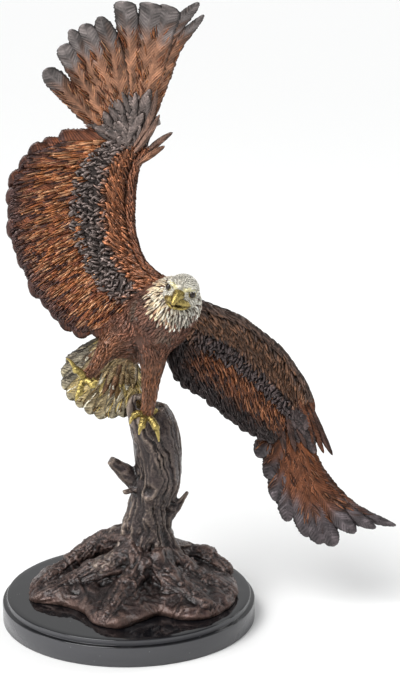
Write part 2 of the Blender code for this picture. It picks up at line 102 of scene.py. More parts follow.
world = bpy.data.worlds.new("studio")
scene.world = world
world.use_nodes = True
sky_way = add_node(world, "TexCoord", {})
sky_part = add_node(world, "SeparateXYZ", {}, [("Vector", sky_way.outputs["Generated"])])
sky_side = add_node(
    world,
    "MapRange",
    {"From Min": -0.5, "From Max": 0.5},
    [("Value", sky_part.outputs["Y"])],
)
sky_height = add_node(
    world,
    "MapRange",
    {"From Min": 0.15, "From Max": 0.9},
    [("Value", sky_part.outputs["Z"])],
)
sky_round = add_node(
    world,
    "Mix",
    {"data_type": "RGBA", 6: (*linear(SKY_BEFORE), 1), 7: (*linear(SKY_BEHIND), 1)},
    [(0, sky_side.outputs["Result"])],
)
sky = add_node(
    world,
    "Mix",
    {"data_type": "RGBA", 7: (*linear(SKY_ABOVE), 1)},
    [(0, sky_height.outputs["Result"]), (6, sky_round.outputs[2])],
)
backdrop = world.node_tree.nodes["Background"]
backdrop.inputs["Strength"].default_value = SKY_STRENGTH
world.node_tree.links.new(sky.outputs[2], backdrop.inputs["Color"])

main_lamp = bpy.data.lights.new("main_light", "SUN")
main_lamp.energy = MAIN_LIGHT_STRENGTH
main_lamp.angle = math.radians(MAIN_LIGHT_WIDTH)
main_light = bpy.data.objects.new("main_light", main_lamp)
main_light.rotation_euler = (-MAIN_LIGHT_FROM).to_track_quat("-Z", "Y").to_euler()
scene.collection.objects.link(main_light)

for name, place, side, power in SOFT_BOXES:
    lamp = bpy.data.lights.new(name, "AREA")
    lamp.shape = "SQUARE"
    lamp.size = side
    lamp.energy = power
    soft_box = bpy.data.objects.new(name, lamp)
    soft_box.location = place
    soft_box.rotation_euler = (AIM - Vector(place)).to_track_quat("-Z", "Y").to_euler()
    scene.collection.objects.link(soft_box)

# Painted board is matt and nearly white, so it shows a soft shadow and no gloss.
painted_board = bpy.data.materials.new("painted_board")
painted_board.use_nodes = True
board = painted_board.node_tree.nodes["Principled BSDF"]
board.inputs["Base Color"].default_value = (*linear(FLOOR_COLOUR), 1)
board.inputs["Roughness"].default_value = FLOOR_ROUGHNESS
floor_mesh = bpy.data.meshes.new("floor")
reach = FLOOR_SIDE / 2
floor_corners = [(-reach, -reach, 0), (reach, -reach, 0), (reach, reach, 0), (-reach, reach, 0)]
floor_mesh.from_pydata(floor_corners, [], [(0, 1, 2, 3)])
floor_mesh.materials.append(painted_board)
floor = bpy.data.objects.new("floor", floor_mesh)
scene.collection.objects.link(floor)

# Marble plinth
# A disc of black marble, turned, with a small step round its top. The top is polished to a mirror and the
# rim is honed, so it is duller and greyer, with a few pale crystals in it.
plinth_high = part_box("marble_plinth")[1]
PLINTH_RADIUS = plinth_high.x
PLINTH_TOP = plinth_high.z
STEP_WIDTH = 0.0045
STEP_HEIGHT = 0.0060
EDGE_ROUND = 0.0014
CORNER_FILLET = 0.0004
FOOT_CHAMFER = 0.0010
PLINTH_SIDES = 240
ROUND_STEPS = 4
MARBLE_TOP = "#0e0e11"
MARBLE_RIM = "#47474a"
MARBLE_VEIN = "#3a3a3c"
CRYSTAL = "#8d8d8d"
CRYSTAL_SIZE = 0.0013
CRYSTAL_GAP = 9 * CRYSTAL_SIZE
VEIN_SIZE = 0.035
MARBLE_IOR = 1.5
HONED = 0.24
MIRROR_POLISH = 0.035


def turned(name, profile, sides):
    """A closed piece turned round the upright axis from radius and height pairs, from its top down."""
    solid = bmesh.new()
    rings = []
    for radius, height in profile:
        turn = [math.tau * step / sides for step in range(sides)]
        rings.append([solid.verts.new((radius * math.cos(a), radius * math.sin(a), height)) for a in turn])
    for high, low in zip(rings, rings[1:]):
        for i in range(sides):
            solid.faces.new((high[i], low[i], low[(i + 1) % sides], high[(i + 1) % sides]))
    for ring, height, way in ((rings[0], profile[0][1], 1), (rings[-1], profile[-1][1], -1)):
        middle = solid.verts.new((0, 0, height))
        for i in range(sides):
            pair = (ring[i], ring[(i + 1) % sides])
            solid.faces.new((*pair[::way], middle))
    mesh = bpy.data.meshes.new(name)
    solid.to_mesh(mesh)
    solid.free()
    piece = bpy.data.objects.new(name, mesh)
    scene.collection.objects.link(piece)
    return piece


def plinth_profile():
    """Radius and height pairs over the top, down the step and down the rim, with rounded corners."""
    shoulder = PLINTH_TOP - STEP_HEIGHT
    inner = PLINTH_RADIUS - STEP_WIDTH
    pairs = [(inner * share, PLINTH_TOP) for share in (0.3, 0.7, 0.95)]
    for rim, top in ((inner, PLINTH_TOP), (PLINTH_RADIUS, shoulder)):
        if top == shoulder:
            pairs.append((inner, shoulder + CORNER_FILLET))
            pairs.append((inner + CORNER_FILLET, shoulder))
        for step in range(ROUND_STEPS + 1):
            a = math.pi / 2 * step / ROUND_STEPS
            pairs.append((rim - EDGE_ROUND * (1 - math.sin(a)), top - EDGE_ROUND * (1 - math.cos(a))))
    pairs.append((PLINTH_RADIUS, FOOT_CHAMFER))
    pairs.append((PLINTH_RADIUS - FOOT_CHAMFER, 0.0))
    return pairs


# Polished marble reflects like dark glass on top. The honed rim scatters the light, so it looks grey.
polished_black_marble = bpy.data.materials.new("polished_black_marble")
polished_black_marble.use_nodes = True
stone = polished_black_marble.node_tree.nodes["Principled BSDF"]
stone.inputs["IOR"].default_value = MARBLE_IOR
spot = add_node(polished_black_marble, "TexCoord", {})
facing = add_node(polished_black_marble, "NewGeometry", {})
facing_up = add_node(polished_black_marble, "SeparateXYZ", {}, [("Vector", facing.outputs["Normal"])])
polished = add_node(
    polished_black_marble,
    "MapRange",
    {"From Min": 0.1, "From Max": 0.75},
    [("Value", facing_up.outputs["Z"])],
)
veins = add_node(
    polished_black_marble,
    "TexNoise",
    {"Scale": 1 / VEIN_SIZE, "Detail": 6, "Distortion": 1.2},
    [("Vector", spot.outputs["Object"])],
)
vein_line = add_node(
    polished_black_marble,
    "MapRange",
    {"From Min": 0.60, "From Max": 0.72, "To Max": 0.35},
    [("Value", veins.outputs[0])],
)
grains = add_node(
    polished_black_marble,
    "TexVoronoi",
    {"Scale": 1 / CRYSTAL_GAP},
    [("Vector", spot.outputs["Object"])],
)
crystal = add_node(
    polished_black_marble,
    "MapRange",
    {"From Min": 0.06, "From Max": 0.04, "To Max": 0.4},
    [("Value", grains.outputs["Distance"])],
)
body_colour = add_node(
    polished_black_marble,
    "Mix",
    {"data_type": "RGBA", 6: (*linear(MARBLE_RIM), 1), 7: (*linear(MARBLE_TOP), 1)},
    [(0, polished.outputs["Result"])],
)
veined = add_node(
    polished_black_marble,
    "Mix",
    {"data_type": "RGBA", 7: (*linear(MARBLE_VEIN), 1)},
    [(0, vein_line.outputs["Result"]), (6, body_colour.outputs[2])],
)
flecked = add_node(
    polished_black_marble,
    "Mix",
    {"data_type": "RGBA", 7: (*linear(CRYSTAL), 1)},
    [(0, crystal.outputs["Result"]), (6, veined.outputs[2])],
)
polish = add_node(
    polished_black_marble,
    "MapRange",
    {"To Min": HONED, "To Max": MIRROR_POLISH},
    [("Value", polished.outputs["Result"])],
)
polished_black_marble.node_tree.links.new(flecked.outputs[2], stone.inputs["Base Color"])
polished_black_marble.node_tree.links.new(polish.outputs["Result"], stone.inputs["Roughness"])

marble_plinth = turned("polished_marble_plinth", plinth_profile(), PLINTH_SIDES)
marble_plinth.data.materials.append(polished_black_marble)
marble_plinth.data.shade_smooth()
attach(marble_plinth, "root")
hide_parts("marble_plinth")

# Rock with roots
# The lowest part of the casting: a low mound of rock that the stump's roots run over. It was modelled in
# clay and cast with a rough skin, then given a dark brown patina and wax, with some red left at its foot.
BRONZE_HEIGHT = 0.627
SEAT_GAP = 0.0003
TOP_RADIUS = PLINTH_RADIUS - STEP_WIDTH
UP = Vector((0, 0, 1))
ROCK_OUTLINE = (
    (-78, 14), (-80, -6), (-78, -24), (-54, -32), (-34, -48), (-25, -68), (-5, -78), (11, -64),
    (26, -52), (42, -60), (61, -60), (77, -45), (87, -18), (86, 10), (78, 38), (60, 50), (34, 60), (-4, 62),
    (-44, 54), (-68, 36),
)
ROCK_MIDDLE = (12, 6)
ROCK_RIM = 1.5
ROCK_RISE = 6.2
ROCK_SINK = 1.6
ROCK_ROUGH = 0.42
MOUND_RINGS = (
    (0.0, 0.45), (0.03, 0.85), (0.06, 1), (0.13, 1), (0.2, 1), (0.3, 1), (0.4, 1), (0.6, 1), (0.8, 1),
)
OUTLINE_POINTS = 144
ROOTS = (
    ((10, 8, 8.6), (-8, 16, 8.0), (-24, 26, 6.4), (-40, 22, 4.6), (-58, 8, 2.6), (-72, -6, 1.0)),
    ((8, 0, 6.4), (-16, -6, 4.6), (-42, -10, 2.6), (-66, -18, 0.9)),
    ((14, -6, 6.2), (4, -26, 3.4), (-8, -50, 1.7), (-14, -66, 0.8)),
    ((20, -6, 6.0), (38, -26, 3.0), (56, -40, 1.6), (66, -50, 0.8)),
    ((24, 8, 5.4), (46, 0, 3.4), (66, -10, 2.0), (78, -14, 0.8)),
    ((20, 24, 5.4), (44, 36, 3.8), (66, 32, 2.9), (82, 16, 1.4)),
    ((8, 24, 4.6), (-4, 44, 1.8), (-10, 54, 0.8)),
)
ROOT_RADII = (3.2, 2.2, 1.7, 1.4, 1.2, 1.0)
ROOT_STEPS = 30
ROCK_VOXEL = 0.0013
SEAT_BLEND = 0.004
WAX_ROUGHNESS = 0.22
CRUST_DEPTH = 0.0030
PIT_DEPTH = 0.0007
PIT_SIZE = 0.0038
ROCK_COLOUR = "#2f2321"
ROCK_LIGHT = "#514039"
ROCK_FOOT = "#3f2a26"
FOOT_BAND = (0.002, 0.016)


def on_marble(x, y, z):
    """A point of the rock: x and y in hundredths of the top's radius, z of the casting's height."""
    return Vector((x * TOP_RADIUS / 100, y * TOP_RADIUS / 100, PLINTH_TOP + z * BRONZE_HEIGHT / 100))


def size(share):
    """A length given in hundredths of the casting's height."""
    return share * BRONZE_HEIGHT / 100


def sizes(shares):
    """The lengths that the shares give."""
    return [size(share) for share in shares]


def along(points, count):
    """That many places on a smooth curve through the points, evenly spaced along it."""
    ends = [2 * points[0] - points[1], *points, 2 * points[-1] - points[-2]]
    fine = []
    for a, b, c, d in zip(ends, ends[1:], ends[2:], ends[3:]):
        for step in range(12):
            t = step / 12
            square = a - b * 2.5 + c * 2 - d / 2
            cube = b * 1.5 - a / 2 - c * 1.5 + d / 2
            fine.append(b + (c - a) * t / 2 + square * t**2 + cube * t**3)
    fine.append(points[-1])
    reach = [0.0]
    for a, b in zip(fine, fine[1:]):
        reach.append(reach[-1] + (b - a).length)
    found = []
    place = 0
    for step in range(count):
        want = reach[-1] * step / (count - 1)
        while place < len(fine) - 2 and reach[place + 1] < want:
            place += 1
        span = reach[place + 1] - reach[place]
        found.append(fine[place].lerp(fine[place + 1], (want - reach[place]) / span))
    return found


def spread(values, count):
    """That many values, read evenly along a list of numbers."""
    return [float(v) for v in np.interp(np.linspace(0, len(values) - 1, count), range(len(values)), values)]


def loft(solid, rings):
    """A closed skin over rings of as many points each, with both ends filled to their middles."""
    rows = [[solid.verts.new(point) for point in ring] for ring in rings]
    sides = len(rows[0])
    for low, high in zip(rows, rows[1:]):
        for i in range(sides):
            solid.faces.new((low[i], low[(i + 1) % sides], high[(i + 1) % sides], high[i]))
    for row, turn in ((rows[0], -1), (rows[-1], 1)):
        middle = solid.verts.new(sum((vert.co for vert in row), Vector()) / sides)
        for i in range(sides):
            pair = (row[i], row[(i + 1) % sides])
            solid.faces.new((*pair[::turn], middle))


def tube(solid, points, radii, sides=20, count=None, rough=None):
    """A round limb along the points. Rough gives the share of its radius that it gains at a place."""
    count = count or 5 * len(points)
    line = along(points, count)
    thick = spread(radii, count)
    side = Vector((1, 0, 0))
    rings = []
    for i, (place, radius) in enumerate(zip(line, thick)):
        way = (line[min(i + 1, count - 1)] - line[max(i - 1, 0)]).normalized()
        side = (side - way * side.dot(way)).normalized()
        other = way.cross(side)
        ring = []
        for step in range(sides):
            angle = math.tau * step / sides
            out = side * math.cos(angle) + other * math.sin(angle)
            gain = rough(place + out * radius) if rough else 0
            ring.append(place + out * radius * (1 + gain))
        rings.append(ring)
    loft(solid, rings)


def mesh_of(solid, name):
    """The shapes as a mesh whose faces all look outward."""
    bmesh.ops.recalc_face_normals(solid, faces=solid.faces)
    mesh = bpy.data.meshes.new(name)
    solid.to_mesh(mesh)
    solid.free()
    return mesh


def fused(solid, voxel, rounds):
    """The overlapping shapes as one skin, fused by voxels and smoothed that many times."""
    shapes = bpy.data.objects.new("shapes", mesh_of(solid, "shapes"))
    scene.collection.objects.link(shapes)
    remesh = shapes.modifiers.new("fuse", "REMESH")
    remesh.mode = "VOXEL"
    remesh.voxel_size = voxel
    ease = shapes.modifiers.new("ease", "SMOOTH")
    ease.factor = 0.5
    ease.iterations = rounds
    bpy.context.view_layer.update()
    skin = bpy.data.meshes.new_from_object(shapes.evaluated_get(bpy.context.evaluated_depsgraph_get()))
    bpy.data.objects.remove(shapes)
    return skin


def points_of(mesh):
    """The mesh's points and their normals."""
    points = np.empty(len(mesh.vertices) * 3)
    normals = np.empty(len(mesh.vertices) * 3)
    mesh.vertices.foreach_get("co", points)
    mesh.vertex_normals.foreach_get("vector", normals)
    return points.reshape(-1, 3), normals.reshape(-1, 3)


def relief_of(mesh, rounds):
    """How far each point stands out of the skin around it, in metres."""
    points, normals = points_of(mesh)
    edges = np.empty(len(mesh.edges) * 2, dtype=int)
    mesh.edges.foreach_get("vertices", edges)
    one, other = edges.reshape(-1, 2).T
    met = np.bincount(one, minlength=len(points)) + np.bincount(other, minlength=len(points))
    eased = points.copy()
    for _ in range(rounds):
        total = np.empty_like(eased)
        for axis in range(3):
            total[:, axis] = np.bincount(one, eased[other, axis], len(points))
            total[:, axis] += np.bincount(other, eased[one, axis], len(points))
        eased = total / np.maximum(met, 1)[:, None]
    return ((points - eased) * normals).sum(axis=1)


def mixed_relief(mesh, fine, broad):
    """Fine and broad relief together, each from its rounds of smoothing and the depth that counts as full."""
    return 0.6 * relief_of(mesh, fine[0]) / fine[1] + 0.7 * relief_of(mesh, broad[0]) / broad[1]


def step_up(value, low, high):
    """0 below low, 1 above high, and a smooth rise between them."""
    share = np.clip((value - low) / (high - low), 0, 1)
    return share * share * (3 - 2 * share)


def ridged(place, layers=3):
    """Crumpled noise between about 0 and 1, with sharp crests."""
    total = 0.0
    weight = 0.55
    for _ in range(layers):
        total += weight * (1 - 2 * abs(noise.noise(place)))
        place = place * 2.1 + Vector((3.7, 1.9, 5.3))
        weight *= 0.5
    return total


def cast_piece(name, mesh, finish):
    """A piece of the casting in that finish, riding where the casting stands."""
    piece = bpy.data.objects.new(name, mesh)
    scene.collection.objects.link(piece)
    mesh.materials.clear()
    mesh.materials.append(finish)
    mesh.shade_smooth()
    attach(piece, "root")
    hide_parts("bronze_eagle_on_stump")


def bronze_piece(name, mesh, patina, relief, finish):
    """A piece of the casting with the patina's colours and the relief on its points."""
    colours = mesh.attributes.new("patina", "FLOAT_COLOR", "POINT")
    opaque = np.c_[np.clip(patina, 0, 1), np.ones(len(patina))]
    colours.data.foreach_set("color", opaque.astype(np.float32).ravel())
    heights = mesh.attributes.new("relief", "FLOAT", "POINT")
    heights.data.foreach_set("value", np.clip(relief, -1, 1).astype(np.float32))
    cast_piece(name, mesh, finish)


def bronze_finish(name, metallic, roughness, mottle, grain, grain_depth, shade, wax):
    """A patina on bronze: its colour from the points, stained, darker in recesses and rubbed on ridges.

    Mottle is the width of its stains and grain that of its pits, grain_depth deep. Shade says how much it
    darkens in recesses and lightens on ridges, and wax is the weight of a thin clear coat.
    """
    finish = bpy.data.materials.new(name)
    finish.use_nodes = True
    metal = finish.node_tree.nodes["Principled BSDF"]
    metal.inputs["Metallic"].default_value = metallic
    metal.inputs["Coat Weight"].default_value = wax
    metal.inputs["Coat Roughness"].default_value = WAX_ROUGHNESS
    spot = add_node(finish, "TexCoord", {})
    patina = add_node(finish, "Attribute", {"attribute_name": "patina"})
    relief = add_node(finish, "Attribute", {"attribute_name": "relief"})
    clouds = add_node(
        finish,
        "TexNoise",
        {"Scale": 1 / mottle, "Detail": 5, "Roughness": 0.65},
        [("Vector", spot.outputs["Object"])],
    )
    cloud_shade = add_node(
        finish,
        "MapRange",
        {"From Min": 0.32, "From Max": 0.68, "To Min": 0.55, "To Max": 1.38},
        [("Value", clouds.outputs[0])],
    )
    relief_shade = add_node(
        finish,
        "MapRange",
        {"From Min": -1, "To Min": shade[0], "To Max": shade[1]},
        [("Value", relief.outputs["Fac"])],
    )
    both = add_node(
        finish,
        "Math",
        {"operation": "MULTIPLY"},
        [(0, cloud_shade.outputs["Result"]), (1, relief_shade.outputs["Result"])],
    )
    shaded = add_node(
        finish,
        "VectorMath",
        {"operation": "SCALE"},
        [(0, patina.outputs["Color"]), ("Scale", both.outputs["Value"])],
    )
    skin = add_node(
        finish,
        "TexNoise",
        {"Scale": 1 / grain, "Detail": 4, "Roughness": 0.65},
        [("Vector", spot.outputs["Object"])],
    )
    gloss = add_node(
        finish,
        "MapRange",
        {"From Min": 0.3, "From Max": 0.7, "To Min": roughness - 0.08, "To Max": roughness + 0.10},
        [("Value", skin.outputs[0])],
    )
    bump = add_node(finish, "Bump", {"Strength": 1.0, "Distance": grain_depth}, [("Height", skin.outputs[0])])
    finish.node_tree.links.new(shaded.outputs[0], metal.inputs["Base Color"])
    finish.node_tree.links.new(gloss.outputs["Result"], metal.inputs["Roughness"])
    finish.node_tree.links.new(bump.outputs["Normal"], metal.inputs["Normal"])
    return finish


def rock_shapes(solid):
    """The mound's rings, drawn in from its outline, and the roots."""
    corners = [on_marble(x, y, 0) for x, y in (*ROCK_OUTLINE, ROCK_OUTLINE[0])]
    outline = along(corners, OUTLINE_POINTS + 1)[:-1]
    middle = on_marble(*ROCK_MIDDLE, 0)
    rings = [[point - UP * size(ROCK_SINK) for point in outline]]
    for inward, share in MOUND_RINGS:
        rise = size(ROCK_RIM + (ROCK_RISE - ROCK_RIM) * inward**1.25) * share
        ring = []
        for point in outline:
            place = point.lerp(middle, inward)
            rough = 1 + ROCK_ROUGH * noise.noise(place / size(3.8)) * (1 - inward)
            ring.append(place + UP * rise * rough)
        rings.append(ring)
    loft(solid, rings)
    for line in ROOTS:
        tube(solid, [on_marble(*row) for row in line], sizes(ROOT_RADII[: len(line)]), 24, ROOT_STEPS, lumps)


def lumps(place):
    """The share of its radius that a root or stub gains there."""
    return 0.22 * noise.noise(place / size(2.4))


def cut_flat(mesh, height):
    """Cuts the mesh off flat at that height and closes it."""
    solid = bmesh.new()
    solid.from_mesh(mesh)
    bmesh.ops.bisect_plane(
        solid,
        geom=[*solid.verts, *solid.edges, *solid.faces],
        plane_co=(0, 0, height),
        plane_no=(0, 0, 1),
        clear_inner=True,
    )
    rim = [edge for edge in solid.edges if edge.is_boundary]
    bmesh.ops.triangle_fill(solid, use_beauty=True, edges=rim)
    bmesh.ops.recalc_face_normals(solid, faces=solid.faces)
    solid.to_mesh(mesh)
    solid.free()


def crusted(mesh, grooves):
    """Roughens the skin outward and inward by a function of place and normal, and leaves the seat alone."""
    points, normals = points_of(mesh)
    moved = points.copy()
    for i, (point, normal) in enumerate(zip(points, normals)):
        lift = min(1.0, max(0.0, (point[2] - PLINTH_TOP) / SEAT_BLEND))
        moved[i] = point + normal * grooves(Vector(point), Vector(normal)) * (0.35 + 0.65 * lift)
    mesh.vertices.foreach_set("co", moved.ravel())
    mesh.update()


root_spots = []
for number, line in enumerate(ROOTS):
    run = 0.0
    course = along([on_marble(*row) for row in line], ROOT_STEPS)
    for i, spot in enumerate(course):
        ahead = course[min(i + 1, ROOT_STEPS - 1)]
        root_spots.append((spot, (ahead - course[max(i - 1, 0)]).normalized(), run, number))
        run += (ahead - spot).length
root_tree = kdtree.KDTree(len(root_spots))
for i, row in enumerate(root_spots):
    root_tree.insert(row[0], i)
root_tree.balance()


def rock_crust(place, normal):
    """Split runs that follow each root outward, broken ledges between the roots, and small lumps over all."""
    spot, i, distance = root_tree.find(place)
    _, way, run, number = root_spots[i]
    off = place - spot
    side = way.cross(UP).normalized()
    angle = math.atan2(off.dot(way.cross(side)), off.dot(side))
    warp = noise.noise(place / 0.018)
    grain = Vector((math.cos(angle) * 2.4, math.sin(angle) * 2.4, run / 0.020 + warp * 1.6 + number * 5))
    split = 1 - min(1.0, abs(noise.noise(grain)) / 0.14)
    fine = noise.noise(Vector((math.cos(angle) * 6, math.sin(angle) * 6, run / 0.010 + warp * 2)))
    near = math.exp(-((distance / 0.020) ** 2))
    lump = ridged(place / 0.034 + Vector((warp, 0, -warp)) * 0.8, 3) - 0.1
    ledge = math.sin((place.z + 0.004 * warp) / 0.0022) * (0.5 + noise.noise(place / 0.03))
    crumbs = ridged(place / PIT_SIZE, 2) - 0.25
    rooty = -0.9 * split + 0.5 * fine + 0.6 * lump
    rocky = 1.6 * lump + 0.3 * ledge
    return CRUST_DEPTH * (rooty * near + rocky * (1 - 0.55 * near)) + PIT_DEPTH * crumbs


# The dark patina is satin under its wax, nearly black in the splits and brown where it is rubbed.
waxed_bark_patina = bronze_finish(
    "waxed_bark_patina_on_bronze",
    metallic=0.5, roughness=0.30, mottle=0.012, grain=0.0026, grain_depth=0.0011, shade=(0.14, 1.6), wax=0.3,
)
solid = bmesh.new()
rock_shapes(solid)
rock_mesh = fused(solid, ROCK_VOXEL, 22)
crusted(rock_mesh, rock_crust)
cut_flat(rock_mesh, PLINTH_TOP + SEAT_GAP)
rock_relief = mixed_relief(rock_mesh, (7, 0.0007), (65, 0.0030))
rock_points, _ = points_of(rock_mesh)
foot = 1 - step_up(rock_points[:, 2] - PLINTH_TOP, *FOOT_BAND)
rubbed = step_up(rock_relief, 0.3, 1.1)
rock_patina = np.outer(1 - foot, linear(ROCK_COLOUR)) + np.outer(foot, linear(ROCK_FOOT))
rock_patina += rubbed[:, None] * (np.array(linear(ROCK_LIGHT)) - rock_patina) * 0.7
bronze_piece("rock_with_roots", rock_mesh, rock_patina, rock_relief, waxed_bark_patina)

# Tree stump
# The dead stump that the bird lands on, with the stubs of its branches and a knot hole. Its bark is deep
# wandering grooves cut in the wax before casting, under the same dark waxed patina, with painted light
# making it greyer on the left.
TRUNK = (
    (2.2, 1.9, 0.8), (2.3, 1.9, 6.0), (2.8, 1.9, 9.2), (3.5, 1.9, 12.6), (4.2, 1.9, 15.8), (5.0, 1.9, 19.2),
    (5.0, 1.9, 22.2), (4.8, 1.9, 25.2), (4.3, 1.9, 28.4), (3.1, 1.9, 31.6),
)
TRUNK_RADII = (5.8, 4.7, 4.2, 4.0, 3.7, 3.8, 3.95, 4.1, 4.15, 3.5)
STUBS = (
    (((2.6, 1.9, 18.0), (-0.2, 1.2, 20.8), (-3.0, 0.2, 23.6)), (2.1, 1.5, 1.0)),
    (((6.2, 1.9, 12.4), (8.6, 1.5, 15.0), (10.1, 1.2, 17.6)), (1.4, 0.85, 0.4)),
    (((2.2, 0.6, 18.2), (0.2, -0.6, 18.2), (-0.8, -0.8, 18.0)), (1.1, 0.6, 0.35)),
    (((4.0, 1.9, 29.0), (5.6, 1.6, 31.0), (5.6, 1.4, 33.0)), (2.5, 1.4, 0.5)),
    (((1.7, 0.5, 29.8), (0.8, 0.1, 32.6), (1.2, -0.1, 34.4), (2.4, -0.3, 34.9)), (1.5, 1.0, 0.75, 0.55)),
)
STUMP_VOXEL = 0.0013
BARK_DEPTH = 0.0024
BARK_TURN = 3.2
BARK_WARPS = ((0.45, 0.045), (0.22, 0.018), (0.10, 0.007))
KNOT_HOLE = (3.2, -2.4, 18.6)
KNOT_RIM = 0.0095
STUMP_COLOUR = "#3a2f2e"
STUMP_RUBBED_AND_LIT = "#7c6e62"
FLARE_TOP = 12
FLARE_RADII = (0.9, 1.9, 1.9, 1.0)


def at(x, y, z):
    """A point of the casting, in hundredths of its height from the middle of the marble's top."""
    return Vector((x, y, z)) * BRONZE_HEIGHT / 100 + UP * PLINTH_TOP


def places(rows):
    """The points of the casting that the rows give."""
    return [at(*row) for row in rows]


def bark(place, normal):
    """Broad flutes that wind up the trunk, deep splits between them, fine grain, and a lumpy foot."""
    climb = (place.z - PLINTH_TOP) / BRONZE_HEIGHT
    out = place - trunk_core(place.z)
    warp = sum(share * noise.noise(place / width) for share, width in BARK_WARPS)
    angle = math.atan2(out.y, out.x) + climb * BARK_TURN + warp
    ring = Vector((math.cos(angle), math.sin(angle), 0))
    flute = noise.noise(ring * 1.5 + UP * climb * 5)
    wide = 1 - min(1.0, abs(noise.noise(ring * 2.6 + UP * climb * 3.6)) / 0.12)
    thin = 1 - min(1.0, abs(noise.noise(ring * 5.5 + UP * (climb * 9 + 4))) / 0.15)
    grain = noise.noise(ring * 14 + UP * climb * 22)
    crumbs = ridged(place / 0.0042, 2) - 0.25
    low = 1 - min(1.0, max(0.0, (climb - 0.13) / 0.09))
    smooth = max(0.0, -out.normalized().x) * (1 - low)
    knot = (place - at(*KNOT_HOLE)).length
    hollow = 1.6 * math.exp(-(((knot - KNOT_RIM) / 0.0035) ** 2)) - 4.5 * math.exp(-((knot / 0.0058) ** 2))
    uneven_depth = 0.45 + 1.1 * step_up(noise.noise(place / 0.016), -0.25, 0.35)
    splits = (1.5 * wide * uneven_depth + 0.5 * thin) * (1 - 0.5 * smooth)
    lumpy = (0.4 + 0.9 * low) * crumbs + 1.2 * low * noise.noise(place / 0.012)
    return BARK_DEPTH * (1.5 * flute - splits + 0.2 * grain + 0.4 * lumpy) + 0.001 * hollow


def trunk_core(height):
    """The middle of the trunk at that height."""
    heights = [PLINTH_TOP + size(row[2]) for row in TRUNK]
    return Vector(
        (
            float(np.interp(height, heights, [size(row[0]) for row in TRUNK])),
            float(np.interp(height, heights, [size(row[1]) for row in TRUNK])),
            height,
        )
    )


solid = bmesh.new()
tube(solid, places(TRUNK), sizes(TRUNK_RADII), 48, 60)
for line, radii in STUBS:
    tube(solid, places(line), sizes(radii), 20, 24, lumps)
flare_top = trunk_core(PLINTH_TOP + size(FLARE_TOP))
for _, low, far, *_ in ROOTS:
    low = on_marble(*low)
    out = (low - flare_top) * Vector((1, 1, 0))
    out.normalize()
    start = flare_top + out * size(2.4)
    bend = flare_top + out * size(4.2) - UP * size(5.4)
    course = (start, bend, low + UP * size(0.5), on_marble(*far) - UP * size(0.6))
    tube(solid, course, sizes(FLARE_RADII), 20, 30, lumps)
stump_mesh = fused(solid, STUMP_VOXEL, 6)
crusted(stump_mesh, bark)
stump_relief = mixed_relief(stump_mesh, (6, 0.0007), (40, 0.0028))
stump_points, stump_normals = points_of(stump_mesh)
# Rubbed ridges are paler, and up to twice as pale where they face left: that extra paleness is painted light.
rubbed = step_up(stump_relief, 0.0, 1.1) * (0.5 + 0.5 * step_up(-stump_normals[:, 0], -0.3, 0.7))
stump_patina = np.tile(linear(STUMP_COLOUR), (len(stump_points), 1))
stump_patina += rubbed[:, None] * (np.array(linear(STUMP_RUBBED_AND_LIT)) - stump_patina) * 0.8
bronze_piece("tree_stump", stump_mesh, stump_patina, stump_relief, waxed_bark_patina)

# Body and legs
# The trunk of the bird with its thighs and feathered shanks. Fine strokes of feather cover it, laid from the
# neck towards the tail and down each leg, in a warm brown patina that is redder on the legs.
BODY = (
    (-4.6, 4.0, 38.6), (-2.6, 3.4, 40.2), (-0.2, 2.4, 42.6), (2.8, 1.0, 45.4), (5.6, -1.0, 48.6),
    (7.8, -3.4, 51.4), (9.0, -5.6, 53.4),
)
BODY_RADII = (1.2, 2.2, 4.0, 5.2, 5.4, 4.7, 3.4)
STANDING_LEG = (
    (4.0, -0.8, 45.4), (4.4, -2.2, 41.6), (4.0, -2.8, 38.0), (3.7, -2.9, 34.8), (3.2, -2.8, 32.2),
)
STANDING_LEG_RADII = (4.0, 2.3, 1.55, 1.2, 1.0)
RAISED_LEG = (
    (0.2, -0.6, 45.6), (-2.3, -3.6, 44.6), (-4.0, -5.9, 43.0), (-5.4, -7.6, 41.3), (-6.5, -8.6, 40.4),
)
RAISED_LEG_RADII = (4.2, 2.9, 1.55, 1.0, 0.85)
HEAD = (9.3, -7.7, 54.8)
NECK_LENGTH = 0.040
SHANK_END = 33.0
BODY_VOXEL = 0.0014
FEATHER_STROKE = 0.0085
STROKE_WIDTH = 0.0036
STROKE_THICKNESS = 0.00042
STROKE_GAP = 0.0026
ROOT_SINK = 0.0005
BREAST_COLOUR = "#815745"
BREAST_DARK = "#4d3932"
BREAST_GREY = "#6f6558"
LEG_COLOUR = "#825439"
BELLY_COLOUR = "#8a7550"
COVERT_THICKNESS = 0.0009
SLIVER_REACH = np.array((0.0, 0.22, 0.5, 0.78, 1.0))
SLIVER_HALVES = np.array((0.5, 0.92, 1.0, 0.74, 0.12))
SLIVER_RISES = np.array((0.3, 1.1, 1.3, 1.0, 0.15))


def new_flock():
    """An empty gathering of feathers that become one piece."""
    return {"points": [], "faces": [], "patina": [], "relief": [], "count": 0, "seed": 1}


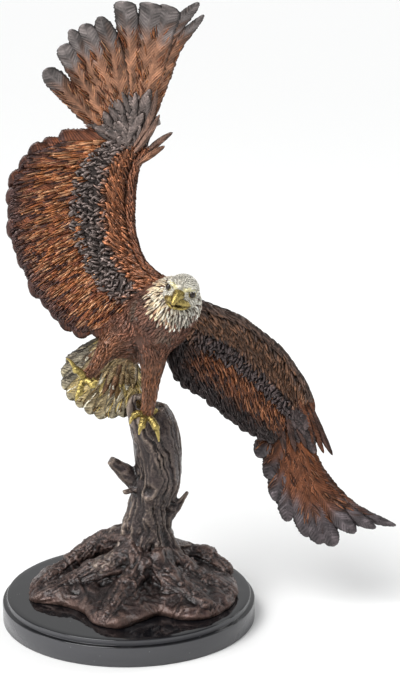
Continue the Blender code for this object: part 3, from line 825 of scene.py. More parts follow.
def sliver(flock, line, face, width, look):
    """One small feather or tool stroke: a plump ridge with a flat underside, pointed at its tip."""
    flock["seed"] += 1
    chance = np.random.default_rng(flock["seed"])
    root, bend, tip = (np.array(point) for point in line)
    t = SLIVER_REACH[:, None]
    middle = root * (1 - t) ** 2 + 2 * bend * t * (1 - t) + tip * t**2
    way = (bend - root) * (1 - t) + (tip - bend) * t
    side = np.cross(way, np.array(face))
    side /= np.linalg.norm(side, axis=1, keepdims=True)
    lift = np.cross(side, way)
    lift /= np.linalg.norm(lift, axis=1, keepdims=True)
    half = side * (width / 2 * SLIVER_HALVES)[:, None]
    crest = middle + lift * (look["thickness"] * SLIVER_RISES)[:, None] + half * 0.7 * (chance.random() - 0.5)
    ring = np.stack([middle - half, crest, middle + half], axis=1)
    tint = 1 + look["tint"] * (chance.random() - 0.5)
    late = SLIVER_REACH[:, None]
    early = np.minimum(1, 2 * late)
    shade = np.array(look["root"]) * (1 - early) + np.array(look["middle"]) * early
    late = np.maximum(0, 2 * late - 1)
    shade = (shade * (1 - late) + np.array(look["tip"]) * late) * tint
    first = flock["count"]
    last = len(SLIVER_REACH) - 1
    for i in range(last):
        for k in range(3):
            a, b = first + i * 3 + k, first + i * 3 + (k + 1) % 3
            flock["faces"].append([a, b, b + 3, a + 3])
    flock["faces"].append([first, first + 1, first + 2])
    flock["faces"].append([first + last * 3 + 2, first + last * 3 + 1, first + last * 3])
    flock["points"].append(ring.reshape(-1, 3))
    flock["patina"].append((shade[:, None, :] * np.array([0.8, 1.1, 0.8])[None, :, None]).reshape(-1, 3))
    standing_out = min(1, look["thickness"] / COVERT_THICKNESS)
    flock["relief"].append(np.tile([-0.45, 0.55, -0.45], last + 1) * standing_out)
    flock["count"] += 3 * (last + 1)


def gathered(flock):
    """The flock's mesh, its colours and its relief."""
    mesh = bpy.data.meshes.new("feathers")
    mesh.from_pydata(np.concatenate(flock["points"]).tolist(), [], flock["faces"])
    solid = bmesh.new()
    solid.from_mesh(mesh)
    caps = [face for face in solid.faces if len(face.verts) > 4]
    bmesh.ops.triangulate(solid, faces=caps)
    bmesh.ops.recalc_face_normals(solid, faces=solid.faces)
    solid.to_mesh(mesh)
    solid.free()
    return mesh, np.concatenate(flock["patina"]), np.concatenate(flock["relief"])


def add_skin(flock, mesh, colour_at, depth):
    """Adds a closed skin to the flock, coloured by place, so that it and its feathers are one piece."""
    points, _ = points_of(mesh)
    relief = relief_of(mesh, 6) / depth
    flock["faces"] += [[flock["count"] + i for i in face.vertices] for face in mesh.polygons]
    flock["points"].append(points)
    flock["patina"].append(np.array([colour_at(Vector(point)) for point in points]))
    flock["relief"].append(np.clip(relief, -1, 1))
    flock["count"] += len(points)


def small_look(colour):
    """How one small feather is made: its thickness, and its colour, dark at its root and with a painted
    highlight at its pale tip.
    """
    shade = np.array(colour)
    tones = {"root": shade * 0.35, "middle": shade * 0.9, "tip": shade * 1.4}
    return {"thickness": COVERT_THICKNESS, "tint": 0.8} | tones


def nearest_limb(place):
    """The limb nearest to the place, the way it runs there, and how far along it is."""
    _, i, _ = limb_tree.find(place)
    name, step = limb_spots[i]
    line = LIMBS[name]
    way = line[min(step + 1, len(line) - 1)] - line[max(step - 1, 0)]
    return name, way.normalized(), step / (len(line) - 1)


def body_colour_at(place):
    """Brown on the breast, redder down the legs, tan under the tail."""
    limb, _, share = nearest_limb(place)
    mottled = 0.5 + 0.6 * noise.noise(place / 0.013) + 0.3 * noise.noise(place / 0.005)
    if limb == "body":
        base = Vector(linear(BREAST_DARK)).lerp(Vector(linear(BREAST_COLOUR)), 0.2 + 0.9 * mottled)
        greyed = 0.6 * float(step_up(noise.noise(place / 0.022 + UP * 7), 0.0, 0.4))
        base = base.lerp(Vector(linear(BREAST_GREY)), greyed)
        return base.lerp(Vector(linear(BELLY_COLOUR)), float(step_up(share, 0.55, 0.8)))
    down = float(step_up(share, 0.1, 0.45))
    return Vector(linear(BREAST_COLOUR)).lerp(Vector(linear(LEG_COLOUR)), down) * (0.5 + 0.65 * mottled)


def scattered(mesh, gap, keep):
    """Places and normals spread over the mesh at about that distance apart, in a fixed order."""
    points, normals = points_of(mesh)
    order = np.random.default_rng(7).permutation(len(points))
    taken = {}
    chosen = []
    around = [(x, y, z) for x in (-1, 0, 1) for y in (-1, 0, 1) for z in (-1, 0, 1)]
    for i in order:
        place = Vector(points[i])
        if not keep(place):
            continue
        cell = tuple(int(math.floor(v / gap)) for v in place)
        cells = [(cell[0] + x, cell[1] + y, cell[2] + z) for x, y, z in around]
        near = [other for key in cells for other in taken.get(key, ())]
        if all((other - place).length >= gap for other in near):
            taken.setdefault(cell, []).append(place)
            chosen.append((place, Vector(normals[i])))
    return chosen


def stroke(flock, tree, place, normal, way, length, width, look, lift):
    """One small feather laid on a skin from a place along a way, its root sunk in and its tip lifted."""
    flow = (way - normal * way.dot(normal)).normalized()
    near, near_normal, _, _ = tree.find_nearest(place + flow * length)
    root = place - normal * ROOT_SINK
    tip = near + near_normal * lift
    bend = root.lerp(tip, 0.5) + normal * lift * 1.2
    sliver(flock, (root, bend, tip), normal, width, look)


def skin_tree(mesh):
    """A tree that finds the nearest place on the mesh."""
    return BVHTree.FromPolygons([v.co for v in mesh.vertices], [tuple(f.vertices) for f in mesh.polygons])


LIMBS = {
    "body": along(places(BODY[::-1]), 30),
    "standing": along(places(STANDING_LEG), 20),
    "raised": along(places(RAISED_LEG), 20),
}
limb_spots = [(name, step) for name, line in LIMBS.items() for step in range(len(line))]
limb_tree = kdtree.KDTree(len(limb_spots))
for i, (name, step) in enumerate(limb_spots):
    limb_tree.insert(LIMBS[name][step], i)
limb_tree.balance()
head_middle = at(*HEAD)

body_flock = new_flock()
solid = bmesh.new()
tube(solid, places(BODY), sizes(BODY_RADII), 32, 40)
tube(solid, places(STANDING_LEG), sizes(STANDING_LEG_RADII), 24, 30)
tube(solid, places(RAISED_LEG), sizes(RAISED_LEG_RADII), 24, 30)
body_mesh = fused(solid, BODY_VOXEL, 12)
crusted(body_mesh, lambda place, normal: 0.0011 * (ridged(place / 0.013, 2) - 0.2))
add_skin(body_flock, body_mesh, lambda place: body_colour_at(place) * 0.6, 0.0006)
body_tree = skin_tree(body_mesh)
chance = np.random.default_rng(21)
for place, normal in scattered(body_mesh, STROKE_GAP, lambda place: place.z > PLINTH_TOP + size(SHANK_END)):
    limb, way, share = nearest_limb(place)
    if limb == "body" and (place - head_middle).length < NECK_LENGTH:
        continue
    scale = (1.0 if limb == "body" else 0.8) * (0.8 + 0.5 * chance.random())
    aside = way.cross(normal) * (chance.random() - 0.5) * 0.7
    shade = np.array(body_colour_at(place))
    look = small_look(shade) | {"root": shade * 0.7, "middle": shade, "tip": shade * 1.2}
    look["thickness"] = STROKE_THICKNESS * (0.6 + 0.9 * chance.random())
    lift = 0.0003 if limb == "body" else 0.0002
    length, width = FEATHER_STROKE * scale, STROKE_WIDTH * scale
    stroke(body_flock, body_tree, place, normal, way + aside, length, width, look, lift)
# The hot brown patina glows warm where it is rubbed and goes nearly black between the feathers.
feather_patina = bronze_finish(
    "hot_brown_patina_on_bronze",
    metallic=0.55, roughness=0.32, mottle=0.009, grain=0.0024, grain_depth=0.0007, shade=(0.25, 1.5), wax=0.3,
)
bronze_piece("body_and_legs", *gathered(body_flock), feather_patina)

# Tail
# A fan of ten broad feathers with long coverts over its root. It is silvered bronze under a warm glaze, with
# gold left on the ridges, and greyer towards the bird's right.
TO_VIEWER = Vector((0, -1, 0))
TAIL_ROOTS = ((-2.4, 4.6, 44.0), (-1.2, 4.0, 42.6), (0.9, 3.2, 41.2))
TAIL_TIPS = (
    (-10.2, 6.2, 38.2), (-11.1, 5.6, 36.0), (-10.6, 5.1, 33.4), (-9.0, 4.8, 31.8), (-7.0, 4.5, 30.4),
    (-5.3, 4.1, 29.5), (-3.2, 4.0, 29.6), (-1.0, 3.8, 29.8), (1.0, 3.6, 30.8),
)
TAIL_FEATHERS = 10
TAIL_FEATHER_WIDTH = 3.3
TAIL_TWIST = 0.22
TAIL_COLOURS = ("#625a50", "#8f8674", "#b09c6e", "#9c8a68", "#9c9078", "#b3a071")
UNDER_TAIL = ("#7d5c43", "#b8a077", "#987f5c")
TAIL_ROOT = "#6b5a3a"
TAIL_TIP = "#b5aa8e"
TAIL_STREAKS = ("#c6ad69", "#e2dac4", "#6e5430", "#b5a37c")
STREAK_LENGTH = 0.021
STREAK_WIDTH = 0.0026
STREAK_LEAN = 0.30
STREAK_SPAN = (0.3, 0.88)
TAIL_COVERTS = ((0.66, 10, 2.0), (0.50, 11, 1.7), (0.34, 12, 1.5), (0.2, 12, 1.3))
UNDER_TAIL_COVERTS = ((0.012, 0.62), (0.017, 0.46), (0.021, 0.32))
UNDER_TAIL_COUNT = 11
UNDER_TAIL_WIDTH = 1.5
COLUMNS = (-1.0, -0.72, -0.4, -0.13, 0.0, 0.13, 0.4, 0.72, 1.0)
FEW_COLUMNS = (-1.0, -0.5, 0.0, 0.5, 1.0)


def uneven(chance, rows, run):
    """For both sides of a shaft, smooth chance values between -1 and 1 that change about every run rows."""
    knots = max(3, round(rows / run) + 2)
    spots = np.linspace(0, knots - 1, rows + 1)
    sides = [np.interp(spots, range(knots), chance.random(knots) * 2 - 1) for _ in (0, 1)]
    return np.stack(sides, axis=1)


def blade(flock, line, face, width, look, twist=0.0, hook=0.0, columns=COLUMNS):
    """One feather: a thin blade with a raised shaft, whose barbs are uneven ridges swept towards its tip.

    Line is its root, bend and tip. It looks the way of face, turned by twist, and hook draws its tip aside,
    in shares of its width. Columns are the places across it, from edge to edge, where it has points.
    """
    flock["seed"] += 1
    chance = np.random.default_rng(flock["seed"])
    root, bend, tip = (np.array(point) for point in line)
    length = np.linalg.norm(bend - root) + np.linalg.norm(tip - bend)
    rows = 2 * max(3, round(length / look["barb"]))
    reach = np.linspace(0, 0.996, rows + 1)[:, None]
    share = np.array(columns)[None, :]
    sweep = look["sweep"] * width / length
    t = reach + abs(share) * sweep * np.minimum(1, (1 - reach) / (2.2 * sweep))
    start = look["round_from"]
    end = np.sqrt(np.clip(1 - (np.clip(t - start, 0, 1) / (1 - start)) ** 2, 0.0004, 1))
    ragged = 1 - look["ragged"] * chance.random(t.shape) * (abs(share) > 0.9)
    half = width / 2 * (look["neck"] + (1 - look["neck"]) * step_up(t, 0, 0.5))
    half = half * end * ragged
    t3 = t[..., None]
    way = (bend - root) * (1 - t3) + (tip - bend) * t3
    way /= np.linalg.norm(way, axis=-1, keepdims=True)
    side = np.cross(way, np.array(face))
    side /= np.linalg.norm(side, axis=-1, keepdims=True)
    lift = np.cross(side, way)
    side, lift = (
        side * math.cos(twist) + lift * math.sin(twist),
        lift * math.cos(twist) - side * math.sin(twist),
    )
    middle = root * (1 - t3) ** 2 + 2 * bend * t3 * (1 - t3) + tip * t3**2
    middle = middle + side * (hook * width * step_up(t, 0.6, 1.15))[..., None]
    which = (share[0] > 0).astype(int)
    clumps = uneven(chance, rows, look["clump"])[:, which]
    strokes = chance.random((rows + 1, 2))[:, which]
    window = np.minimum(1, abs(share) / 0.3) * (1 - share**6) * np.minimum(1, (1 - reach) / 0.06)
    turn = np.arange(rows + 1)[:, None] % 2 * 2 - 1
    wave = (turn * (0.35 + 0.75 * strokes) + 0.9 * clumps) * window
    spine = np.exp(-((share / 0.1) ** 2)) * (1 - 0.8 * t)
    thick = look["thickness"] / 2 * (0.4 + 0.6 * (1 - share**2))
    thick = thick + look["ripple"] * wave + look["shaft"] * spine
    thick = np.maximum(thick, look["thickness"] * 0.12)
    base = middle + side * (share * half)[..., None] - lift * (look["camber"] * half * share**2)[..., None]
    ring = np.concatenate([base + lift * thick[..., None], (base - lift * thick[..., None])[:, ::-1]], axis=1)
    tint = 1 + look["tint"] * (chance.random() - 0.5)
    late = step_up(t + 0.12 * clumps * window, look["tip_from"], look["tip_from"] + look["tip_blend"])
    early = step_up(t, 0.0, 0.45)
    colour = np.array(look["root"]) * (1 - early[..., None]) + np.array(look["middle"]) * early[..., None]
    colour = colour * (1 - late[..., None]) + np.array(look["tip"]) * late[..., None]
    margin = abs(share) ** 8 * look["margin"]
    streak = 1 + look["streak"] * (clumps * 0.6 + (strokes - 0.5) * 0.8) * np.minimum(1, abs(share) / 0.15)
    colour = colour * (tint * (1 - margin) * streak)[..., None]
    relief = np.clip(wave, -1, 1) * 0.9 + spine * 0.5
    across = ring.shape[1]
    first = flock["count"]
    i, k = np.meshgrid(np.arange(rows), np.arange(across), indexing="ij")
    a = first + i * across + k
    b = first + i * across + (k + 1) % across
    flock["faces"] += np.stack([a, b, b + across, a + across], axis=-1).reshape(-1, 4).tolist()
    for row, way_round in ((0, -1), (rows, 1)):
        flock["faces"].append([first + row * across + step for step in range(across)][::way_round])
    flock["points"].append(ring.reshape(-1, 3))
    flock["patina"].append(np.concatenate([colour, colour[:, ::-1]], axis=1).reshape(-1, 3))
    flock["relief"].append(np.concatenate([relief, relief[:, ::-1]], axis=1).ravel())
    flock["count"] += ring.shape[0] * across


def laid_over(flock, line, face, width, look, strokes, colours, chance):
    """Raised strokes over one feather that spring from its shaft and lean outward, as a tool leaves them.

    Strokes says how many there are, how far they lean, how long and wide they are, and where they start.
    """
    count, lean, length, thin, span = strokes
    root, bend, tip = line
    feather_length = (bend - root).length + (tip - bend).length
    for _ in range(count):
        t = span[0] + (span[1] - span[0]) * chance.random()
        which = 1 if chance.random() < 0.5 else -1
        way = ((bend - root) * (1 - t) + (tip - bend) * t).normalized()
        side = way.cross(face).normalized()
        out = face - way * face.dot(way)
        spot = root * (1 - t) ** 2 + bend * 2 * t * (1 - t) + tip * t**2
        start_share = 0.04 + 0.26 * chance.random()
        spot = spot + side * which * width * start_share
        slant = lean * (0.6 + 0.8 * chance.random())
        course = (way + side * which * slant).normalized()
        room = min((0.95 - t) * feather_length, (0.46 - start_share) * width / slant)
        reach = min(length * (0.6 + 0.7 * chance.random()), room)
        start = spot + out * look["thickness"] * 0.35
        end = start + course * reach - out * 0.0003
        middle = start.lerp(end, 0.5) + out * 0.0013 + side * which * reach * 0.06
        colour = Vector(linear(colours[int(chance.random() * len(colours))]))
        shade = small_look(colour) | {"tip": colour * 0.9}
        sliver(flock, (start, middle, end), face, thin * (0.7 + 0.6 * chance.random()), shade)


tail_look = {
    "barb": 0.0040, "sweep": 0.8, "round_from": 0.84, "ragged": 0.10, "neck": 0.6, "ripple": 0.0008,
    "shaft": 0.0011, "thickness": 0.0026, "camber": 0.14, "tint": 0.3, "tip_from": 0.84, "tip_blend": 0.16,
    "margin": 0.6, "clump": 3, "streak": 0.5,
}
tail_flock = new_flock()
tail_roots = along(places(TAIL_ROOTS), TAIL_FEATHERS)
tail_tips = along(places(TAIL_TIPS), TAIL_FEATHERS)
for i, (root, tip) in enumerate(zip(tail_roots, tail_tips)):
    across = i / (TAIL_FEATHERS - 1) * (len(TAIL_COLOURS) - 1)
    shade = Vector(linear(TAIL_COLOURS[round(across)]))
    pale = Vector(linear(TAIL_TIP)) * (0.6 + 0.1 * min(i, 4))
    look = tail_look | {"root": linear(TAIL_ROOT), "middle": shade, "tip": pale}
    line = (root, root.lerp(tip, 0.5), tip)
    width = size(TAIL_FEATHER_WIDTH)
    blade(tail_flock, line, TO_VIEWER, width, look, TAIL_TWIST)
    streaks = TAIL_STREAKS if i > 2 else TAIL_COLOURS[:2]
    for face, count in ((TO_VIEWER, 20), (-TO_VIEWER, 7)):
        strokes = (count, STREAK_LEAN, STREAK_LENGTH, STREAK_WIDTH, STREAK_SPAN)
        laid_over(tail_flock, line, face, width, look, strokes, streaks, chance)
for row, (reach, count, width) in enumerate(TAIL_COVERTS):
    starts = along(tail_roots, count)
    ends = along(tail_tips, count)
    for start, end in zip(starts, ends):
        for side in (1, -1):
            raised = TO_VIEWER * side * (0.0028 + 0.0020 * row)
            tip = start.lerp(end, reach * (0.85 + 0.3 * chance.random())) + raised
            shade = Vector(linear(TAIL_STREAKS[int(chance.random() * 4)])) * 0.8
            look = tail_look | {
                "barb": 0.0036, "round_from": 0.3, "ripple": 0.0004, "thickness": 0.0016,
                "root": shade * 0.5, "middle": shade * 0.8, "tip": shade * 1.1,
            }
            bend = start.lerp(tip, 0.5) + raised * 0.6
            line = (start, bend, tip)
            blade(tail_flock, line, TO_VIEWER * side, size(width), look, TAIL_TWIST, columns=FEW_COLUMNS)
for raise_by, reach in UNDER_TAIL_COVERTS:
    starts = along(places(TAIL_ROOTS), UNDER_TAIL_COUNT)
    ends = along(places(TAIL_TIPS), UNDER_TAIL_COUNT)
    for start, end in zip(starts, ends):
        start = start + TO_VIEWER * raise_by
        tip = start.lerp(end, reach * (0.85 + 0.3 * chance.random())) - TO_VIEWER * raise_by * 0.2
        shade = Vector(linear(UNDER_TAIL[int(chance.random() * 3)]))
        look = tail_look | {
            "barb": 0.0036, "round_from": 0.3, "ripple": 0.0005, "thickness": 0.0018,
            "root": shade * 0.6, "middle": shade * 0.9, "tip": shade * 1.1,
        }
        bend = start.lerp(tip, 0.5) + TO_VIEWER * 0.002
        width = size(UNDER_TAIL_WIDTH)
        blade(tail_flock, (start, bend, tip), TO_VIEWER, width, look, TAIL_TWIST, columns=FEW_COLUMNS)
# Silver under the warm glaze catches bright, broken lights on its ridges and stays dark in its grooves.
silvered_bronze = bronze_finish(
    "silvered_bronze_with_gold_glaze",
    metallic=0.75, roughness=0.28, mottle=0.006, grain=0.0022, grain_depth=0.0006, shade=(0.22, 1.6),
    wax=0.15,
)
bronze_piece("tail", *gathered(tail_flock), silvered_bronze)

# Wings
# Each wing is a covered arm with the long secondaries along it and the primaries fanned from the hand. Rows
# of coverts lie over their roots, reddish along the leading edge and dark grey in a band behind it.
RIGHT_WING = {
    "lead": (
        (8.5, -2.2, 54.5), (5.7, -1.3, 56.1), (4.0, 0.2, 57.1), (2.8, 1.5, 58.6), (1.9, 3.0, 61.0),
        (1.5, 4.2, 64.0), (1.6, 5.1, 67.2), (1.9, 5.8, 70.4), (2.7, 6.1, 73.2), (4.4, 6.1, 75.4),
    ),
    "bone": (
        (5.5, 1.0, 49.5), (2.4, 2.5, 54.5), (0.2, 4.5, 59.0), (-0.8, 6.0, 64.0), (-0.6, 7.0, 69.0),
        (0.2, 7.4, 73.0), (1.4, 7.3, 76.0),
    ),
    "tips": (
        (-3.8, 2.0, 46.4), (-7.6, 1.0, 45.4), (-11.0, 0.2, 47.4), (-14.6, -0.2, 51.5), (-17.3, 0.2, 56.4),
        (-19.1, 1.2, 61.8), (-19.3, 2.2, 66.6), (-18.6, 3.2, 70.9), (-16.2, 4.6, 74.4), (-11.4, 5.8, 76.2),
    ),
    "secondaries": 18, "secondary_width": 4.6, "secondary_round": 0.90, "secondary_strokes": 1600,
    "secondary_slant": 0.0, "stroke_way": (0.95, -0.24), "stroke_end": 0.95,
    "dark_shoulder": 0.0, "primary_strokes": 30,
    "hand": ((-3.6, 7.2, 75.0), (-1.0, 7.4, 77.0), (1.4, 7.3, 78.4), (3.6, 6.8, 79.2), (5.3, 6.2, 80.0)),
    "primary_tips": (
        (-12.9, 3.8, 88.7), (-10.2, 3.0, 92.6), (-8.2, 2.4, 95.4), (-5.9, 2.1, 96.3), (-2.9, 1.6, 97.5),
        (1.0, 1.3, 99.8), (4.6, 1.0, 99.6), (7.0, 0.8, 99.3), (8.4, 0.8, 101.0), (10.6, 1.3, 98.8),
    ),
    "primary_widths": (3.8, 3.6, 3.2, 3.6, 4.0, 4.2, 4.4, 4.6, 4.2, 3.0),
    "primary_round": (0.86, 0.92, 0.80, 0.90, 0.80, 0.95, 0.96, 0.94, 0.42, 0.36),
    "primary_hooks": (0.0, 0.1, -0.15, -0.15, -0.25, -0.25, 0.0, 0.1, 1.1, 1.0),
    "curl": 1.0,
    "hand_coverts": (
        (-6.0, 7.0, 79.2), (-4.8, 6.5, 83.0), (-2.2, 6.1, 85.8), (1.0, 5.6, 86.8), (4.2, 5.2, 85.6),
    ),
    "alula": (
        ((2.2, 6.0, 73.4), (5.0, 5.2, 76.6), (7.7, 3.8, 78.4)),
        ((1.6, 5.2, 72.6), (4.2, 4.4, 74.8), (6.4, 3.6, 76.2)),
        ((1.2, 5.6, 74.6), (3.8, 4.2, 77.4), (5.6, 3.4, 81.4)),
        ((1.2, 5.8, 75.6), (4.4, 4.0, 79.4), (5.2, 3.0, 85.6)),
    ),
    "alula_width": 1.2,
    "edge": "#85543a", "lesser": "#a96c48", "band": "#70635e",
    "secondary": ("#ab6a3e", "#925538", "#513a36"), "primary": ("#ab6b3e", "#a07054", "#6e6664"),
    "strokes": ("#b98863", "#a3673e", "#925632", "#784630", "#4a302a"),
    "secondary_dark_from": 0.80, "primary_dark_from": 0.66,
    "edge_to": 0.085, "band_from": 0.25, "band_to": 0.49,
}
LEFT_WING = {
    "lead": (
        (9.5, -0.8, 51.8), (12.7, -0.5, 51.2), (15.7, 0.6, 49.7), (18.8, 1.6, 48.3), (22.2, 3.1, 45.4),
        (25.5, 4.4, 42.3), (28.4, 5.3, 38.2), (30.5, 5.3, 34.6), (31.2, 5.1, 32.4),
    ),
    "bone": (
        (8.6, 0.6, 47.8), (13.5, 1.4, 47.0), (17.6, 2.8, 45.2), (21.6, 4.4, 42.2), (25.0, 5.6, 38.4),
        (27.2, 6.0, 34.8), (28.6, 6.0, 31.4),
    ),
    "tips": (
        (6.6, 2.6, 40.2), (7.9, 1.4, 37.6), (10.4, 0.4, 35.4), (13.2, -0.2, 33.8), (16.0, -0.2, 31.2),
        (18.6, 0.1, 29.2), (21.0, 0.6, 27.6), (23.6, 1.4, 26.4),
    ),
    "secondaries": 14, "secondary_width": 3.1, "secondary_round": 0.80, "secondary_strokes": 900,
    "secondary_slant": 0.16, "stroke_way": (0.55, 0.70), "stroke_end": 0.93,
    "dark_shoulder": 1.0, "primary_strokes": 14,
    "hand": ((26.6, 5.4, 30.6), (27.8, 5.6, 29.0), (29.0, 5.6, 27.6), (30.0, 5.4, 26.6), (30.8, 5.0, 26.0)),
    "primary_tips": (
        (21.8, 1.9, 23.4), (23.6, 1.5, 19.6), (25.0, 0.9, 15.8), (27.0, 0.2, 12.4), (30.6, -0.5, 9.9),
        (32.9, -1.1, 8.9), (35.2, -1.4, 8.7), (38.2, -1.3, 10.6), (41.6, -1.1, 11.1), (45.2, -0.7, 11.4),
    ),
    "primary_widths": (4.2, 4.0, 4.0, 4.2, 4.2, 4.2, 4.2, 4.4, 3.6, 2.8),
    "primary_round": (0.70, 0.72, 0.74, 0.72, 0.80, 0.84, 0.84, 0.66, 0.55, 0.45),
    "primary_hooks": (0.0, 0.0, 0.0, 0.0, 0.0, 0.0, 0.0, -0.15, -0.25, -0.3),
    "curl": 8.0,
    "hand_coverts": ((27.2, 5.2, 26.4), (28.6, 5.0, 25.0), (30.4, 4.6, 24.4), (31.8, 4.2, 23.6)),
    "alula": (
        ((30.4, 5.6, 32.6), (32.2, 5.0, 27.4), (34.7, 4.1, 23.0)),
        ((29.0, 5.2, 35.4), (31.0, 4.6, 33.4), (31.4, 4.2, 30.6)),
        ((28.0, 5.0, 34.0), (29.6, 4.4, 29.0), (32.0, 3.8, 23.6)),
        ((27.4, 4.8, 33.0), (28.6, 4.2, 28.4), (30.2, 3.6, 24.4)),
        ((29.6, 5.3, 33.4), (31.2, 4.7, 28.0), (33.2, 3.9, 23.4)),
        ((26.6, 4.6, 32.0), (27.2, 4.0, 28.0), (28.4, 3.4, 23.8)),
        ((25.6, 4.4, 31.0), (25.8, 3.8, 27.6), (26.6, 3.2, 23.6)),
        ((28.6, 5.0, 33.8), (30.2, 4.4, 29.2), (31.4, 3.8, 25.0)),
    ),
    "alula_width": 1.35,
    "edge": "#614b40", "lesser": "#7c5841", "band": "#504443",
    "secondary": ("#86512f", "#623a26", "#332a29"), "primary": ("#824d2c", "#74452c", "#585052"),
    "strokes": ("#996545", "#84502f", "#74462d", "#5a392b", "#3a2723"),
    "secondary_dark_from": 0.68, "primary_dark_from": 0.62,
    "edge_to": 0.08, "band_from": 0.33, "band_to": 0.50,
}
ARM_THICK = 1.15
ARM_SKIN = 0.6
ARM_STATIONS = 150
ARM_COLUMNS = 34
ARM_END = 0.51
FEATHER_TWIST = 0.13
SECONDARY_TWIST = 0.17
WING_STATIONS = 80
TOOL_STROKE = 0.0150
TOOL_WIDTH = 0.0024
TOOL_THICKNESS = 0.0007
TUFT_LENGTH = 0.012
TUFT_WIDTH = 0.0017
TUFT_LEAN = 0.38
TUFT_SPAN = (0.25, 0.78)
EDGE_ROWS = (0.004, 0.022, 0.042, 0.062)
EDGE_LENGTH = 0.022
EDGE_GAP = 0.0040
EDGE_COVERTS = {"width": 0.0032, "raise": 0.0006, "outward": 0.05}
LESSER_COVERTS = {"length": 0.0058, "width": 0.0038, "raise": 0.0009, "outward": 0.042, "step": 0.0046}
BAND_COVERTS = {"length": 0.0064, "width": 0.0041, "raise": 0.0014, "outward": 0.0, "step": 0.0052}
HAND_RADII = (1.4, 1.3, 1.1, 1.0, 0.9, 0.8)
HAND_COVERTS = ((1.0, 13, 2.1, 0.9), (0.80, 12, 1.8, 1.3), (0.58, 12, 1.6, 1.7), (0.36, 10, 1.4, 1.9))

long_look = {
    "barb": 0.0042, "sweep": 0.75, "round_from": 0.8, "ragged": 0.08, "neck": 0.6, "ripple": 0.0007,
    "shaft": 0.0010, "thickness": 0.0022, "camber": 0.14, "tint": 0.35, "tip_from": 0.72, "tip_blend": 0.22,
    "margin": 0.75, "clump": 4, "streak": 0.5,
}


def shades(names, scale=1.0):
    """The root, middle and tip colours of a feather's look."""
    root, middle, tip = (Vector(linear(name)) * scale for name in names)
    return {"root": root, "middle": middle, "tip": tip}


def wing_lines(plan, count):
    """Places along the wing: its leading edge, its bone, a secondary's tip and the way its face looks."""
    edges, bones, ends = (along(places(plan[name]), count) for name in ("lead", "bone", "tips"))
    found = []
    for i in range(count):
        outward = bones[min(i + 1, count - 1)] - bones[max(i - 1, 0)]
        face = outward.cross(ends[i] - edges[i]).normalized()
        if face.dot(TO_VIEWER) < 0:
            face = -face
        found.append((edges[i], bones[i], ends[i], face))
    return found


def on_arm(lines, place, chord, side):
    """A point of the arm's skin: place runs from shoulder to wrist, chord from the leading edge back."""
    low = min(int(place * (len(lines) - 1)), len(lines) - 2)
    share = place * (len(lines) - 1) - low
    edge, bone, tip, face = (a.lerp(b, share) for a, b in zip(lines[low], lines[low + 1]))
    split = (bone - edge).length / ((bone - edge).length + (tip - bone).length)
    behind = 1 - split
    spot = edge.lerp(bone, chord / split) if chord < split else bone.lerp(tip, (chord - split) / behind)
    knots = (0, 0.02, 0.05, 0.085, 0.10, 0.13, split + 0.06, split + behind * 0.3, split + behind * 0.6)
    depths = (0.05, 0.7, 1.0, 0.9, 0.65, 0.95, 1.0, ARM_SKIN / ARM_THICK, 0.1)
    thick = ARM_THICK * float(np.interp(chord, knots, depths))
    return spot + face * side * size(thick)


def arm_skin(lines):
    """The arm's closed skin, with a rolled leading edge, thick at the bone and thin behind."""
    solid = bmesh.new()
    chords = [ARM_END * (step / ARM_COLUMNS) ** 1.3 for step in range(ARM_COLUMNS + 1)]
    rings = []
    for step in range(ARM_STATIONS + 1):
        place = step / ARM_STATIONS
        ring = []
        for side, course in ((1, chords), (-1, chords[::-1])):
            for chord in course:
                spot = on_arm(lines, place, chord, side)
                rough = noise.noise(spot / 0.006) * 0.0007 + noise.noise(spot / 0.0025) * 0.0003
                ring.append(spot + TO_VIEWER * side * rough)
        rings.append(ring)
    loft(solid, rings)
    return mesh_of(solid, "arm")


def arm_colour(plan, chord, place):
    """The patina across the arm: rolled edge, reddish coverts and dark band, all brown at the shoulder."""
    if chord < plan["edge_to"]:
        return Vector(linear(plan["edge"]))
    into_band = float(step_up(chord, plan["band_from"] - 0.03, plan["band_from"] + 0.03))
    out = float(step_up(place, 0.04, 0.20))
    return Vector(linear(plan["lesser"])).lerp(Vector(linear(plan["band"])), into_band * out)


def lay_coverts(flock, plan, lines, side, row, count, kind, chance):
    """One uneven row of small feathers across the arm, laid back over the next row's roots.

    Row is where it starts and how long it is, in shares of the chord. Kind says how wide its feathers are,
    how far their tips lift and how far they turn outward to the wrist.
    """
    chord, length = row
    width, raise_by, outward = kind["width"], kind["raise"], kind["outward"]
    for step in range(count):
        place = (step + chance.random()) / count
        near = max(0.004, chord + 0.5 * length * (chance.random() - 0.5))
        lean = outward * (0.6 + 0.8 * chance.random()) + 0.07 * (chance.random() - 0.45)
        reach = length * (0.7 + 0.7 * chance.random())
        root = on_arm(lines, place, near, side)
        end = on_arm(lines, min(1.0, max(0.0, place + lean)), near + reach, side)
        ahead = on_arm(lines, min(1.0, place + 0.01), near, side)
        aside = ahead - on_arm(lines, max(0.0, place - 0.01), near, side)
        normal = aside.cross(end - root)
        if outward:
            normal = (root - lines[min(int(place * len(lines)), len(lines) - 1)][1]).cross(aside)
        normal.normalize()
        if normal.dot(TO_VIEWER) * side < 0:
            normal = -normal
        root = root - normal * ROOT_SINK
        tip = end + normal * raise_by * (0.5 + chance.random())
        bend = root.lerp(tip, 0.5) + normal * raise_by
        colour = arm_colour(plan, near + 0.06 * (chance.random() - 0.5), place)
        colour = colour * (0.75 + 0.5 * chance.random())
        broad = width * (0.7 + 0.6 * chance.random())
        tilt = normal + aside.normalized() * 1.1 * (chance.random() - 0.5)
        sliver(flock, (root, bend, tip), tilt, broad, small_look(colour))


